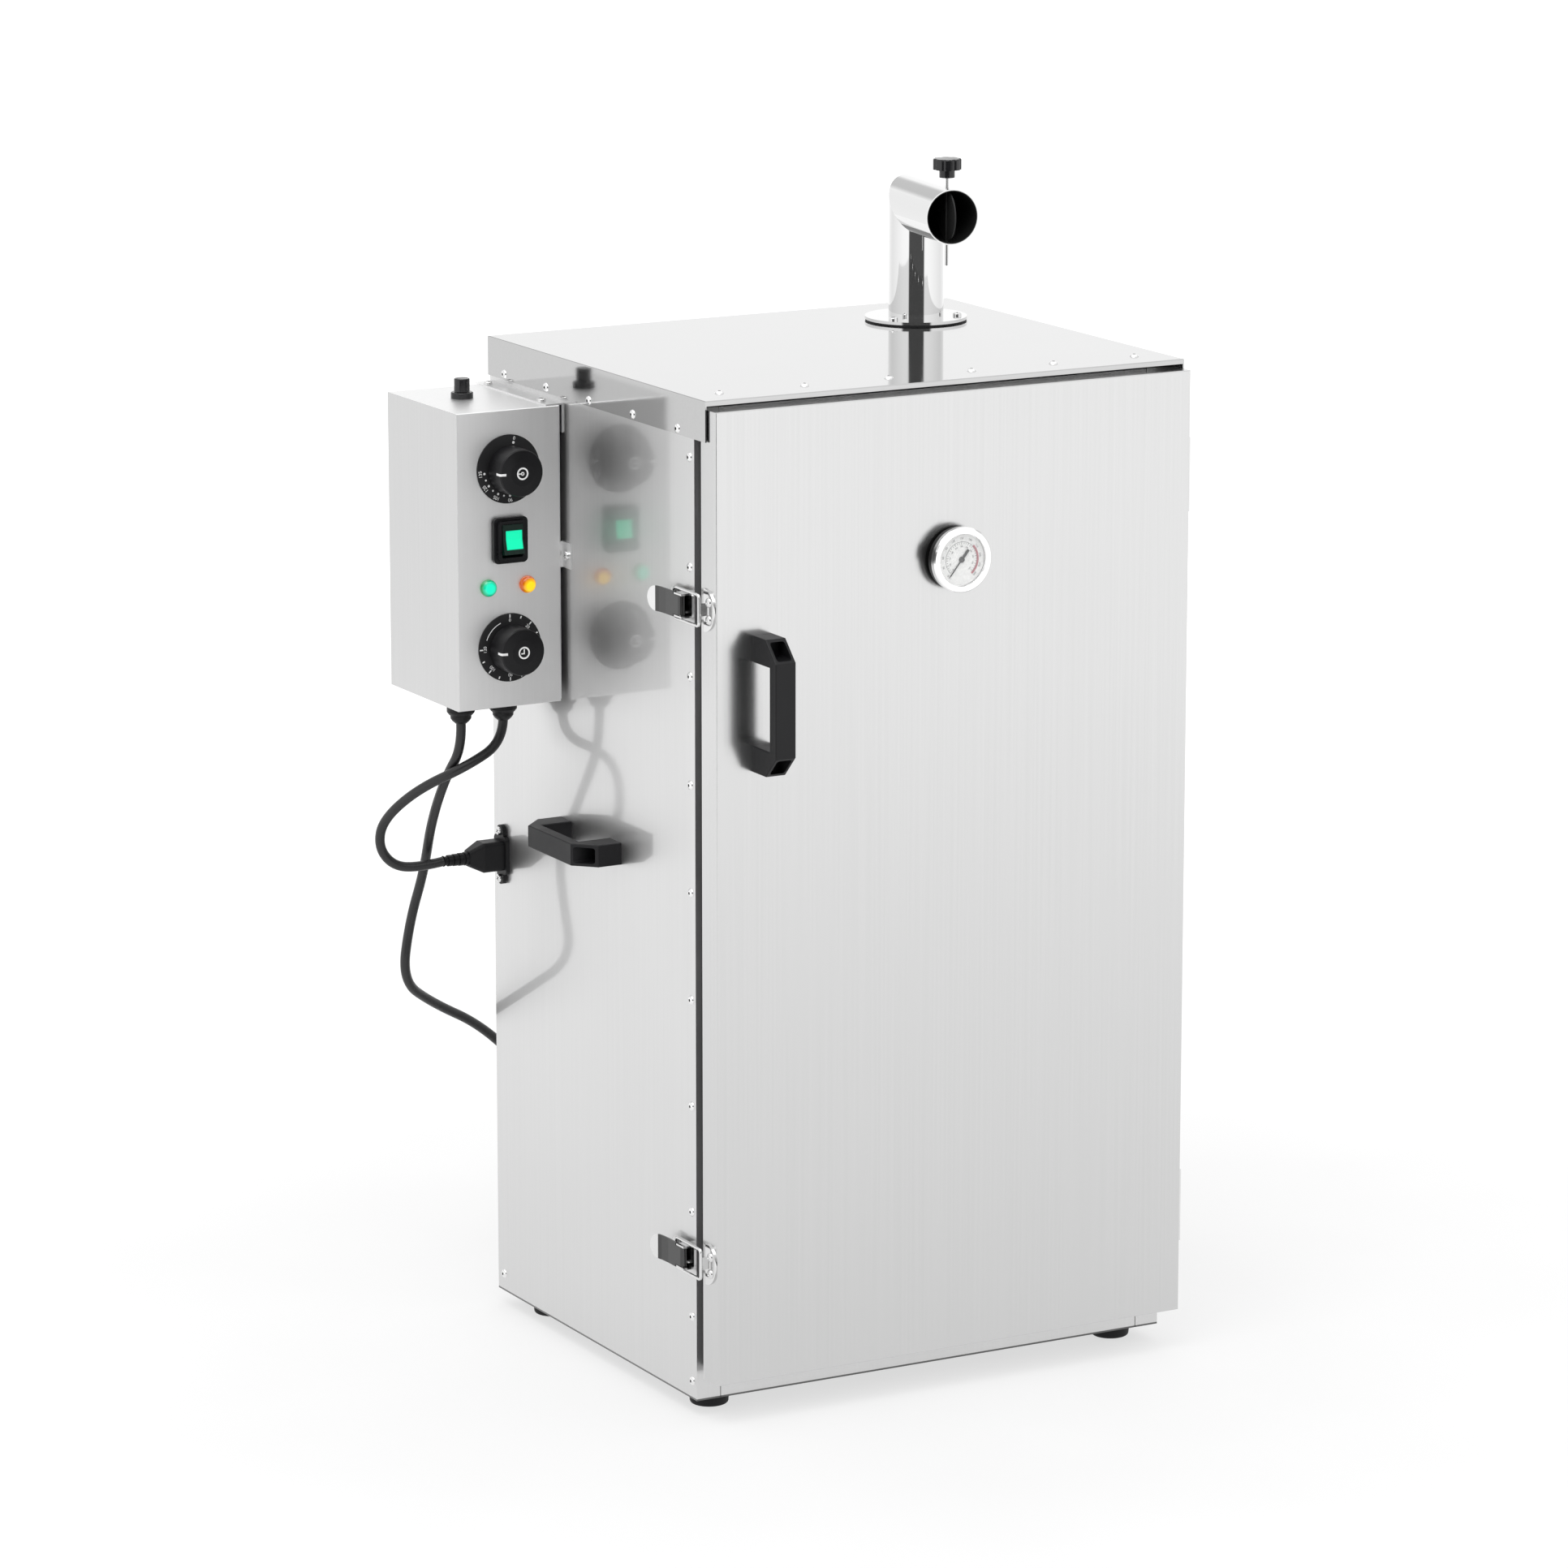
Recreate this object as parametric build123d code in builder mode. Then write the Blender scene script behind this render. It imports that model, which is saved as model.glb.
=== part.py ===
from build123d import *
import os
from math import cos, radians, sin, sqrt, tan

# Electric cabinet smoker: an insulated stainless cabinet with a sealed front door, a
# control box hung on its left wall, a flue with a damper, and loose racks inside.
# Millimetres.  The cabinet frame has x from the left wall's outer face to the right,
# y from the cabinet's front plane to the rear, and z up from the side panels' lower
# edge.  The part's origin is the middle of its footprint, on the floor.

# ---- driving dimensions ----------------------------------------------------------------------
WIDTH = 429.0                 # cabinet, outside
DEPTH = 352.5
HEIGHT = 805.0                # to the top of the lid
ORIGIN_X = 183.0              # middle of the whole footprint, in the cabinet frame
ORIGIN_Y = 142.0
FOOT_HEIGHT = 13.0

SKIN = 1.0                    # outer sheet
LINER_SHEET = 0.8
WALL = 22.0                   # double wall, outside to inside
LID_SHEET = 1.2
LID_FLANGE = 32.0
LID_OVERHANG = 20.4           # past the cabinet's front plane
CHAMBER_BOTTOM = 42.0
CHAMBER_TOP = 783.0
CHAMBER_BACK = DEPTH - WALL

DOOR_GAP = 9.7                # cabinet front plane to the door's inner skin
DOOR_FRONT = -33.7
DOOR_SIDE_CLEARANCE = 0.8
DOOR_BOTTOM = 21.4
DOOR_TOP = 797.9
MOVING_CLEARANCE = 0.4
RUNNING_CLEARANCE = 0.05

HINGE_X = WIDTH + 3.5
HINGE_Y = -20.0
HINGE_LEVELS = (110.0, 714.0)
HINGE_HEIGHT = 60.0
HINGE_BARREL_R = 3.0
HINGE_PIN_R = 1.5
HINGE_LEAF = 1.5

LATCH_LEVELS = {"lower": 118.0, "upper": 642.0}
LATCH_PIVOT = (-6.5, 10.0)    # x, y of the lever's pivot
BAIL_PIVOT = (-5.5, 23.0)     # x, y of the bail's pivot on the lever
BAIL_BAR_Y = -17.5
BAIL_HALF_HEIGHT = 12.2
WIRE_R = 1.3

HANDLE_LENGTH = 108.0
HANDLE_WIDTH = 18.0
HANDLE_STAND = 37.0
HANDLE_EDGE = 1.0             # rounding of a handle's long edges
SHEET_BEND = 0.8              # outside radius of a folded sheet's edge
DOOR_HANDLE = (32.5, 568.0)   # left edge x, middle z
SIDE_HANDLE = (179.0, 420.0)  # middle y, middle z

BOX_LEFT, BOX_RIGHT = -95.5, -4.2
BOX_FRONT, BOX_BACK = 220.4, 345.4
BOX_BOTTOM, BOX_TOP = 527.0, 767.4
DIAL_X = -50.1
DIAL_R = 27.7
THERMOSTAT_Z = 720.0
TIMER_Z = 575.5
SWITCH = (-50.0, 663.0)
LAMPS_Z = 625.3
GREEN_X, AMBER_X = -68.6, -33.9
FUSE = (-56.0, 290.0)
MAINS_GLAND = (-63.0, 284.0)
HEATER_GLAND = (-27.0, 280.0)
GLAND_LENGTH = 24.0

INLET = (335.5, 376.5)        # y, z of its middle
FLUE = (346.4, 261.0)         # x, y of its vertical axis
FLUE_R = 22.7
FLUE_SHEET = 1.5
FLUE_AXIS_Z = 900.0           # of the outlet
FLUE_REACH = 80.0             # vertical axis to the outlet's mouth
FLUE_TURN = 8.6               # degrees the outlet heads left of straight ahead
DAMPER_REACH = 68.0
DAMPER_OPEN = 1.5             # degrees from in line with the outlet

THERMOMETER = (211.5, 667.0)
RACK_LEVELS = (300.0, 460.0, 620.0)
DRIP_LEVEL = 190.0
CORD_R = 4.0
FLOOR = -FOOT_HEIGHT


# ---- places and planes in the cabinet frame --------------------------------------------------
def at(x, y, z):
    """The point of the part's own frame that stands at x, y, z in the cabinet frame."""
    return (x - ORIGIN_X, y - ORIGIN_Y, z + FOOT_HEIGHT)


def level(z):
    """A horizontal plane, drawn on in x and y."""
    return Plane(origin=at(0, 0, z))


def side(x):
    """A plane facing +X, drawn on in y and z."""
    return Plane(origin=at(x, 0, 0), x_dir=(0, 1, 0), z_dir=(1, 0, 0))


def facing(y):
    """A plane facing -Y, drawn on in x and z."""
    return Plane(origin=at(0, y, 0), x_dir=(1, 0, 0), z_dir=(0, -1, 0))


def on(plane, u, v, turn=0):
    """A place on a plane, turned about the plane's normal."""
    return plane.location * Location((u, v, 0), (0, 0, turn))


def block(x, y, z, mode=Mode.ADD):
    """A box between three pairs of limits."""
    with BuildSketch(level(z[0])) as outline:
        with Locations(((x[0] + x[1]) / 2, (y[0] + y[1]) / 2)):
            Rectangle(x[1] - x[0], y[1] - y[0])
    extrude(outline.sketch, amount=z[1] - z[0], mode=mode)


def bar(plane, spots, radius, length, mode=Mode.ADD):
    """Round bars of one length that start on a plane and follow its normal."""
    with BuildSketch(plane) as outline:
        with Locations(*spots):
            Circle(radius)
    extrude(outline.sketch, amount=length, mode=mode)


def tube(plane, spot, outer, inner, length):
    """A round tube that starts on a plane and follows its normal."""
    with BuildSketch(plane) as ring:
        with Locations(spot):
            Circle(outer)
            Circle(inner, mode=Mode.SUBTRACT)
    extrude(ring.sketch, amount=length)


def tub(x, y, z, sheet, open_side):
    """A thin box that is open on one side, given as an axis and a direction."""
    block(x, y, z)
    inner = [[x[0] + sheet, x[1] - sheet], [y[0] + sheet, y[1] - sheet], [z[0] + sheet, z[1] - sheet]]
    axis, end = open_side
    inner[axis][end] += sheet * (2 if end else -2)
    block(*inner, mode=Mode.SUBTRACT)


# ---- small fasteners, drawn once at the origin -----------------------------------------------
RIVET_R = 3.8
RIVET_HEIGHT = 1.7
with BuildPart() as rivet:
    with BuildSketch(Plane.XZ):
        with BuildLine():
            Polyline((0.9, 0), (RIVET_R, 0))
            ThreePointArc((RIVET_R, 0), (RIVET_R * 0.75, RIVET_HEIGHT * 0.75), (1.2, RIVET_HEIGHT))
            Polyline((1.2, RIVET_HEIGHT), (0.9, RIVET_HEIGHT * 0.5), (0.9, 0))
        make_face()
    revolve(axis=Axis.Z)

SCREW_R = 3.6
SCREW_HEAD = 2.4
with BuildPart() as pan_screw:
    Cylinder(SCREW_R, SCREW_HEAD, align=(Align.CENTER, Align.CENTER, Align.MIN))
    fillet(pan_screw.edges().group_by(Axis.Z)[-1], 1.1)
    for turn in (0, 90):
        with Locations(Location((0, 0, SCREW_HEAD), (0, 0, turn))):
            Box(4.2, 0.9, 2.4, mode=Mode.SUBTRACT)

# ---- outer cabinet ---------------------------------------------------------------------------
SIDE_TOP = HEIGHT - LID_SHEET
FRONT_FLANGE = 21.0


def side_panel(outer, inward):
    """A side wall with its front edge turned across the cabinet's front."""
    block(sorted((outer, outer + inward * SKIN)), (0, DEPTH), (0, SIDE_TOP))
    block(sorted((outer, outer + inward * FRONT_FLANGE)), (0, SKIN), (0, SIDE_TOP))


CAPILLARY = (300.0, 700.0)    # y, z where the sensor tube crosses the left wall
SENSOR_HOLE_R = 2.2
INLET_BODY = (18.0, 28.0)     # width and height of the socket's body
ELEMENT_ENTRY = (300.0, 62.0)

with BuildPart() as left_side_panel:
    side_panel(0, 1)
    with BuildSketch(side(0)):
        with Locations(INLET):
            Rectangle(INLET_BODY[0] + 0.4, INLET_BODY[1] + 0.4)
        with Locations(CAPILLARY):
            Circle(SENSOR_HOLE_R)
    extrude(amount=SKIN, mode=Mode.SUBTRACT)

with BuildPart() as right_side_panel:
    side_panel(WIDTH, -1)

with BuildPart() as back_panel:
    block((SKIN, WIDTH - SKIN), (DEPTH - SKIN, DEPTH), (SKIN, SIDE_TOP))
    for edge in (SKIN, WIDTH - 2 * SKIN):
        block((edge, edge + SKIN), (DEPTH - 18, DEPTH - SKIN), (SKIN, SIDE_TOP))
    notch_y = (INLET[0] - 12, INLET[0] + 12)
    block((0, 3 * SKIN), notch_y, (INLET[1] - 18, INLET[1] + 18), mode=Mode.SUBTRACT)

with BuildPart() as base_pan:
    block((SKIN, WIDTH - SKIN), (SKIN, DEPTH), (0, SKIN))
    for edge in (SKIN, WIDTH - 2 * SKIN):
        block((edge, edge + SKIN), (2 * SKIN, DEPTH - 20), (SKIN, 24))
    block((FRONT_FLANGE + 0.6, WIDTH - FRONT_FLANGE - 0.6), (0, SKIN), (0, WALL - 1))

with BuildPart() as lid:
    block((-LID_SHEET, WIDTH + LID_SHEET), (-LID_OVERHANG, DEPTH + LID_SHEET), (SIDE_TOP, HEIGHT))
    block((-LID_SHEET, WIDTH + LID_SHEET), (-LID_OVERHANG, LID_SHEET - LID_OVERHANG), (HEIGHT - 4, HEIGHT))
    for edge in (-LID_SHEET, WIDTH):
        block((edge, edge + LID_SHEET), (-LID_OVERHANG, DEPTH + LID_SHEET), (HEIGHT - LID_FLANGE, HEIGHT))
    block((0, WIDTH), (DEPTH, DEPTH + LID_SHEET), (HEIGHT - LID_FLANGE, HEIGHT))
    bar(level(HEIGHT - 3), [FLUE], FLUE_R + 0.3, 4, mode=Mode.SUBTRACT)
    fillet(lid.faces().sort_by(Axis.Z)[-1].outer_wire().edges(), SHEET_BEND)

# ---- chamber ---------------------------------------------------------------------------------
CHAMBER_X = (WALL, WIDTH - WALL)
CHAMBER_Y = (2 * SKIN, CHAMBER_BACK)
CHAMBER_Z = (CHAMBER_BOTTOM, CHAMBER_TOP)
SHELL_X = (WALL - LINER_SHEET, WIDTH - WALL + LINER_SHEET)
SHELL_Y = (SKIN, CHAMBER_BACK + LINER_SHEET)
SHELL_Z = (CHAMBER_BOTTOM - LINER_SHEET, CHAMBER_TOP + LINER_SHEET)
SENSOR_R = 1.5
ELEMENT_R = 4.0

with BuildPart() as chamber_liner:
    tub(SHELL_X, SHELL_Y, SHELL_Z, LINER_SHEET, (1, 0))
    for low, high in ((CHAMBER_TOP, SIDE_TOP - 0.3), (WALL - 0.6, CHAMBER_BOTTOM)):
        block((FRONT_FLANGE + 0.6, WIDTH - FRONT_FLANGE - 0.6), (0, SKIN), (low, high))
    bar(level(CHAMBER_TOP - 2), [FLUE], FLUE_R - FLUE_SHEET, 6, mode=Mode.SUBTRACT)
    bar(side(WALL - 3), [CAPILLARY], SENSOR_HOLE_R, 6, mode=Mode.SUBTRACT)
    entries = [(ELEMENT_ENTRY[0] - 24, ELEMENT_ENTRY[1]), ELEMENT_ENTRY]
    bar(side(WALL - 3), entries, ELEMENT_R + 0.3, 6, mode=Mode.SUBTRACT)

with BuildPart() as wall_insulation:
    block((2 * SKIN, WIDTH - 2 * SKIN), (2 * SKIN, DEPTH - 2 * SKIN), (2 * SKIN, SIDE_TOP - 1))
    block(SHELL_X, (0, SHELL_Y[1]), SHELL_Z, mode=Mode.SUBTRACT)
    bar(level(CHAMBER_TOP), [FLUE], FLUE_R + 0.3, 30, mode=Mode.SUBTRACT)
    bar(side(0), [CAPILLARY], SENSOR_HOLE_R, WALL, mode=Mode.SUBTRACT)
    bar(side(0), entries, ELEMENT_R + 0.3, WALL, mode=Mode.SUBTRACT)
    block((0, WALL), (INLET[0] - 14, DEPTH), (INLET[1] - 18, INLET[1] + 18), mode=Mode.SUBTRACT)
    corner = DEPTH - 19
    for edge in ((0, 2 * SKIN), (WIDTH - 2 * SKIN, WIDTH)):
        block(edge, (corner, DEPTH), (0, SIDE_TOP), mode=Mode.SUBTRACT)

RAIL_DEPTH = (24.0, 318.0)
RAIL_WIDTH = 12.0
with BuildPart() as rack_rails:
    for height in (DRIP_LEVEL, *RACK_LEVELS):
        for wall, inward in ((CHAMBER_X[0], 1), (CHAMBER_X[1], -1)):
            block(sorted((wall, wall + inward)), RAIL_DEPTH, (height - 12, height))
            block(sorted((wall, wall + inward * RAIL_WIDTH)), RAIL_DEPTH, (height - 1, height))

RACK_X = (CHAMBER_X[0] + 3.5, CHAMBER_X[1] - 3.5)
RACK_Y = (32.0, 314.0)
RACK_FRAME_R = 2.5
RACK_WIRE_R = 1.4
RACK_WIRES = 17


def wire_rack(height):
    """A flat grid of rods welded under a bent frame rod; its frame rests on two rails."""
    z = height + RACK_FRAME_R
    left, right = RACK_X[0] + RACK_FRAME_R, RACK_X[1] - RACK_FRAME_R
    near, far = RACK_Y[0] + RACK_FRAME_R, RACK_Y[1] - RACK_FRAME_R
    with BuildLine() as loop:
        FilletPolyline(
            at(left, near, z), at(right, near, z), at(right, far, z), at(left, far, z),
            radius=10, close=True,
        )
    wire = loop.wires()[0]
    with BuildSketch(Plane(origin=wire @ 0, z_dir=wire % 0)) as section:
        Circle(RACK_FRAME_R)
    sweep(section.sketch, path=wire)
    pitch = (right - left) / (RACK_WIRES + 1)
    spots = [(left + pitch * (n + 1), z) for n in range(RACK_WIRES)]
    bar(facing(far), spots, RACK_WIRE_R, far - near)
    for y in (near + (far - near) / 3, near + (far - near) * 2 / 3):
        bar(side(left), [(y, z - 0.8)], RACK_WIRE_R, right - left)


racks = []
for height in RACK_LEVELS:
    with BuildPart() as rack:
        wire_rack(height)
    racks.append(rack)

with BuildPart() as drip_tray:
    tub(RACK_X, RACK_Y, (DRIP_LEVEL, DRIP_LEVEL + 22), 1.0, (2, 1))
    fillet(drip_tray.edges().filter_by(Axis.Z), 0.4)

CHIP_X = (120.0, 310.0)
CHIP_Y = (60.0, 230.0)
CHIP_Z = (74.0, 102.0)
with BuildPart() as chip_tray:
    tub(CHIP_X, CHIP_Y, CHIP_Z, 1.5, (2, 1))
    for x in (CHIP_X[0] + 2, CHIP_X[1] - 8):
        for y in (CHIP_Y[0] + 2, CHIP_Y[1] - 8):
            block((x, x + 6), (y, y + 6), (CHAMBER_BOTTOM, CHIP_Z[0]))

ELEMENT_TIPS = 4.0
with BuildPart() as heating_element:
    y_back, z = ELEMENT_ENTRY
    y_front = y_back - 24
    with BuildLine():
        loop = FilletPolyline(
            at(ELEMENT_TIPS, y_back, z), at(340, y_back, z), at(340, 40, z),
            at(90, 40, z), at(90, y_front, z), at(ELEMENT_TIPS, y_front, z), radius=11,
        )
    with BuildSketch(side(ELEMENT_TIPS)):
        with Locations((y_back, z)):
            Circle(ELEMENT_R)
    sweep(path=loop)

# ---- feet and rivets -------------------------------------------------------------------------
FOOT_X = 27.0
FOOT_FRONT_Y = 30.0
FOOT_BACK_Y = 306.0
FOOT_R = 16.5
foot_spots = [(x, y) for x in (FOOT_X, WIDTH - FOOT_X) for y in (FOOT_FRONT_Y, FOOT_BACK_Y)]
with BuildPart() as rubber_feet:
    with BuildSketch(level(0)):
        with Locations(*foot_spots):
            Circle(FOOT_R)
    extrude(amount=-FOOT_HEIGHT, taper=5)
    fillet(rubber_feet.edges().group_by(Axis.Z)[0], 2.5)
    bar(level(FLOOR), foot_spots, 5.0, 6, mode=Mode.SUBTRACT)

COLUMN_Y = 7.5
COLUMN_START = 68.0
COLUMN_PITCH = 86.2
COLUMN_COUNT = 9
CORNER_RIVET_Z = 14.8
FLANGE_RIVET_Z = 777.5
FLANGE_RIVETS_Y = [24.8 + 74.8 * n for n in range(5)]
LID_RIVETS_X = [27.7 + 75.0 * n for n in range(6)]
column = [(COLUMN_Y, COLUMN_START + COLUMN_PITCH * n) for n in range(COLUMN_COUNT)]
corners = [(COLUMN_Y, CORNER_RIVET_Z), (DEPTH - 11, CORNER_RIVET_Z)]
flange_row = [(y, FLANGE_RIVET_Z) for y in FLANGE_RIVETS_Y]
REAR_RIVETS_X = [30.0 + 92.25 * n for n in range(5)]


def flipped(plane):
    """The same place facing the other way, with its first axis kept."""
    return Plane(origin=plane.origin, x_dir=plane.x_dir, z_dir=-plane.z_dir)


rivet_places = []
for plane, sign in ((flipped(side(0)), -1), (side(WIDTH), 1)):
    rivet_places += [on(plane, y, sign * z) for y, z in column + corners]
for plane, sign in ((flipped(side(-LID_SHEET)), -1), (side(WIDTH + LID_SHEET), 1)):
    rivet_places += [on(plane, y, sign * z) for y, z in flange_row]
rivet_places += [on(level(HEIGHT), x, 10.5) for x in LID_RIVETS_X]
rivet_places += [on(flipped(facing(DEPTH + LID_SHEET)), x, -FLANGE_RIVET_Z) for x in REAR_RIVETS_X]
rivet_places += [on(flipped(facing(DEPTH)), x, -CORNER_RIVET_Z) for x in REAR_RIVETS_X]
with BuildPart() as cabinet_rivets:
    with Locations(*rivet_places):
        add(rivet.part)

# ---- flue ------------------------------------------------------------------------------------
FLANGE_R = 42.2
FLANGE_SHEET = 2.4
GASKET_SHEET = 1.3
FLANGE_BOTTOM = HEIGHT + GASKET_SHEET
FLANGE_TOP = FLANGE_BOTTOM + FLANGE_SHEET
FLANGE_SCREW_R = 34.0
DAMPER_ROD_R = 1.5
DAMPER_DISC_R = 20.4
DAMPER_SHEET = 1.2
ROD_BELOW = 41.0              # from the outlet's axis down to the rod's lower end
KNOB_ABOVE = 31.0             # from the outlet's axis up to the knob
KNOB_LOBES = 8

outlet_heading = Vector(0, -1, 0).rotate(Axis.Z, -FLUE_TURN)
elbow = Vector(*at(*FLUE, FLUE_AXIS_Z))
mouth = elbow + outlet_heading * FLUE_REACH
mitre = Plane(origin=elbow, z_dir=outlet_heading + Vector(0, 0, 1))
rod_spot = (
    FLUE[0] + DAMPER_REACH * outlet_heading.X,
    FLUE[1] + DAMPER_REACH * outlet_heading.Y,
)

with BuildPart() as chimney_pipe:
    tube(level(CHAMBER_TOP + 1), FLUE, FLUE_R, FLUE_R - FLUE_SHEET, 160)
    split(bisect_by=mitre, keep=Keep.BOTTOM)
    tube(level(FLANGE_BOTTOM), FLUE, FLANGE_R, FLUE_R - 0.5, FLANGE_SHEET)

with BuildPart() as chimney_outlet:
    mouth_plane = Plane(origin=mouth, x_dir=(0, 0, 1), z_dir=-outlet_heading)
    tube(mouth_plane, (0, 0), FLUE_R, FLUE_R - FLUE_SHEET, FLUE_REACH + 40)
    split(bisect_by=mitre, keep=Keep.TOP)
    hole_r = DAMPER_ROD_R + RUNNING_CLEARANCE
    bar(level(FLUE_AXIS_Z - 30), [rod_spot], hole_r, 60, mode=Mode.SUBTRACT)

with BuildPart() as chimney_gasket:
    tube(level(HEIGHT), FLUE, FLANGE_R - 0.5, FLUE_R + 0.3, GASKET_SHEET)

with BuildPart() as damper:
    bar(level(FLUE_AXIS_Z - ROD_BELOW), [rod_spot], DAMPER_ROD_R, ROD_BELOW + KNOB_ABOVE + 4)
    disc_normal = outlet_heading.rotate(Axis.Z, 90 - DAMPER_OPEN)
    disc_plane = Plane(origin=at(*rod_spot, FLUE_AXIS_Z), x_dir=(0, 0, 1), z_dir=disc_normal)
    with BuildSketch(disc_plane.offset(-DAMPER_SHEET / 2)):
        Circle(DAMPER_DISC_R)
    extrude(amount=DAMPER_SHEET)

with BuildPart() as damper_knob:
    tube(level(FLUE_AXIS_Z + KNOB_ABOVE), rod_spot, 6.4, DAMPER_ROD_R, 4)
    bar(level(FLUE_AXIS_Z + KNOB_ABOVE + 4), [rod_spot], 6.4, 2.5)
    with BuildSketch(level(FLUE_AXIS_Z + KNOB_ABOVE + 6.5)):
        with Locations(rod_spot):
            Circle(11.6)
            with PolarLocations(13.4, KNOB_LOBES):
                Circle(3.0, mode=Mode.SUBTRACT)
    extrude(amount=9)
    fillet(damper_knob.edges().group_by(Axis.Z)[-1], 1.2)

# ---- bridge handles --------------------------------------------------------------------------
HANDLE_CHAMFER = 16.5
HANDLE_FOOT = 21.0
GRIP = 10.0


def bridge_handle(base, across, middle):
    """A bridge handle on a plane that is drawn along the grip first and across it second."""
    half = HANDLE_LENGTH / 2
    profile_plane = Plane(origin=base.origin, x_dir=base.x_dir, z_dir=-base.y_dir)
    outline = [
        (-half, 0), (-half, HANDLE_STAND - HANDLE_CHAMFER), (-half + HANDLE_CHAMFER, HANDLE_STAND),
        (half - HANDLE_CHAMFER, HANDLE_STAND), (half, HANDLE_STAND - HANDLE_CHAMFER), (half, 0),
        (half - HANDLE_FOOT, 0), (half - HANDLE_FOOT, HANDLE_STAND - GRIP),
        (HANDLE_FOOT - half, HANDLE_STAND - GRIP), (HANDLE_FOOT - half, 0),
    ]
    with BuildSketch(profile_plane.offset(-across - HANDLE_WIDTH / 2)) as profile:
        with BuildLine():
            Polyline(*[(middle + u, v) for u, v in outline], close=True)
        make_face()
    extrude(profile.sketch, amount=HANDLE_WIDTH)


def soften(handle, base):
    """Rounds the edges round a handle's two long sides, but not along its feet."""
    sides = handle.faces().filter_by(Axis((0, 0, 0), base.y_dir))
    edges = [edge for face in sides for edge in face.edges()]
    fillet([e for e in edges if abs(base.to_local_coords(e.center()).Z) > 1], HANDLE_EDGE)


def handle_pockets(base, across, middle):
    """Sinks a screw well into each bevelled corner."""
    for end in (-1, 1):
        with BuildSketch(base.offset(HANDLE_STAND)) as well:
            with Locations((middle + end * (HANDLE_LENGTH / 2 - 8.5), across)):
                RectangleRounded(13, HANDLE_WIDTH - 5, 2)
        extrude(well.sketch, amount=-24, mode=Mode.SUBTRACT)


door_base = Plane(origin=at(0, DOOR_FRONT, 0), x_dir=(0, 0, 1), z_dir=(0, -1, 0))
left_base = Plane(origin=at(0, 0, 0), x_dir=(0, 1, 0), z_dir=(-1, 0, 0))
right_base = Plane(origin=at(WIDTH, 0, 0), x_dir=(0, 1, 0), z_dir=(1, 0, 0))
handle_parts = []
door_across = -(DOOR_HANDLE[0] + HANDLE_WIDTH / 2)
for base, across, middle in (
    (door_base, door_across, DOOR_HANDLE[1]),
    (left_base, -SIDE_HANDLE[1], SIDE_HANDLE[0]),
    (right_base, SIDE_HANDLE[1], SIDE_HANDLE[0]),
):
    with BuildPart() as handle:
        bridge_handle(base, across, middle)
        soften(handle, base)
        handle_pockets(base, across, middle)
    handle_parts.append(handle)
door_handle, carry_handle_left, carry_handle_right = handle_parts


# ---- turned shapes ---------------------------------------------------------------------------
def turned(start, direction, profile, mode=Mode.ADD):
    """Revolves (radius, distance) points about the line from start along direction."""
    direction = Vector(*direction)
    across = Vector(0, 1, 0) if abs(direction.X) > 0.5 else Vector(1, 0, 0)
    plane = Plane(origin=start, x_dir=across, z_dir=across.cross(direction))
    with BuildSketch(plane) as outline:
        with BuildLine():
            Polyline(*profile, close=True)
        make_face()
    revolve(outline.sketch, axis=Axis(start, direction), mode=mode)


def rounded_block(plane, middle, size, corner, length, taper=0, mode=Mode.ADD):
    """A prism of rounded rectangular section that follows a plane's normal."""
    with BuildSketch(plane) as outline:
        with Locations(middle):
            RectangleRounded(size[0], size[1], corner)
    extrude(outline.sketch, amount=length, taper=taper, mode=mode)


# ---- control box -----------------------------------------------------------------------------
SPINDLE_R = 3.0
BUSH_R = 5.0
SWITCH_CUT = (21.0, 29.0)
LAMP_R = 7.0
LAMP_BODY_R = 6.0
FUSE_BODY_R = 7.0
GLAND_THREAD_R = 6.0

with BuildPart() as control_box_shell:
    tub((BOX_LEFT, BOX_RIGHT), (BOX_FRONT, BOX_BACK), (BOX_BOTTOM, BOX_TOP), SKIN, (0, 1))
    face = facing(BOX_FRONT - 1)
    dial_spots = [(DIAL_X, THERMOSTAT_Z), (DIAL_X, TIMER_Z)]
    bar(face, dial_spots, BUSH_R + 0.2, -3, mode=Mode.SUBTRACT)
    bar(face, [(GREEN_X, LAMPS_Z), (AMBER_X, LAMPS_Z)], LAMP_BODY_R + 0.2, -3, mode=Mode.SUBTRACT)
    rounded_block(face, SWITCH, (SWITCH_CUT[0] + 0.4, SWITCH_CUT[1] + 0.4), 1, -3, mode=Mode.SUBTRACT)
    bar(level(BOX_TOP + 1), [FUSE], FUSE_BODY_R + 0.2, -3, mode=Mode.SUBTRACT)
    bar(level(BOX_BOTTOM + 2), [MAINS_GLAND, HEATER_GLAND], GLAND_THREAD_R + 0.2, -3, mode=Mode.SUBTRACT)
    fillet(control_box_shell.faces().sort_by(Axis.Y)[0].outer_wire().edges(), SHEET_BEND)

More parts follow.
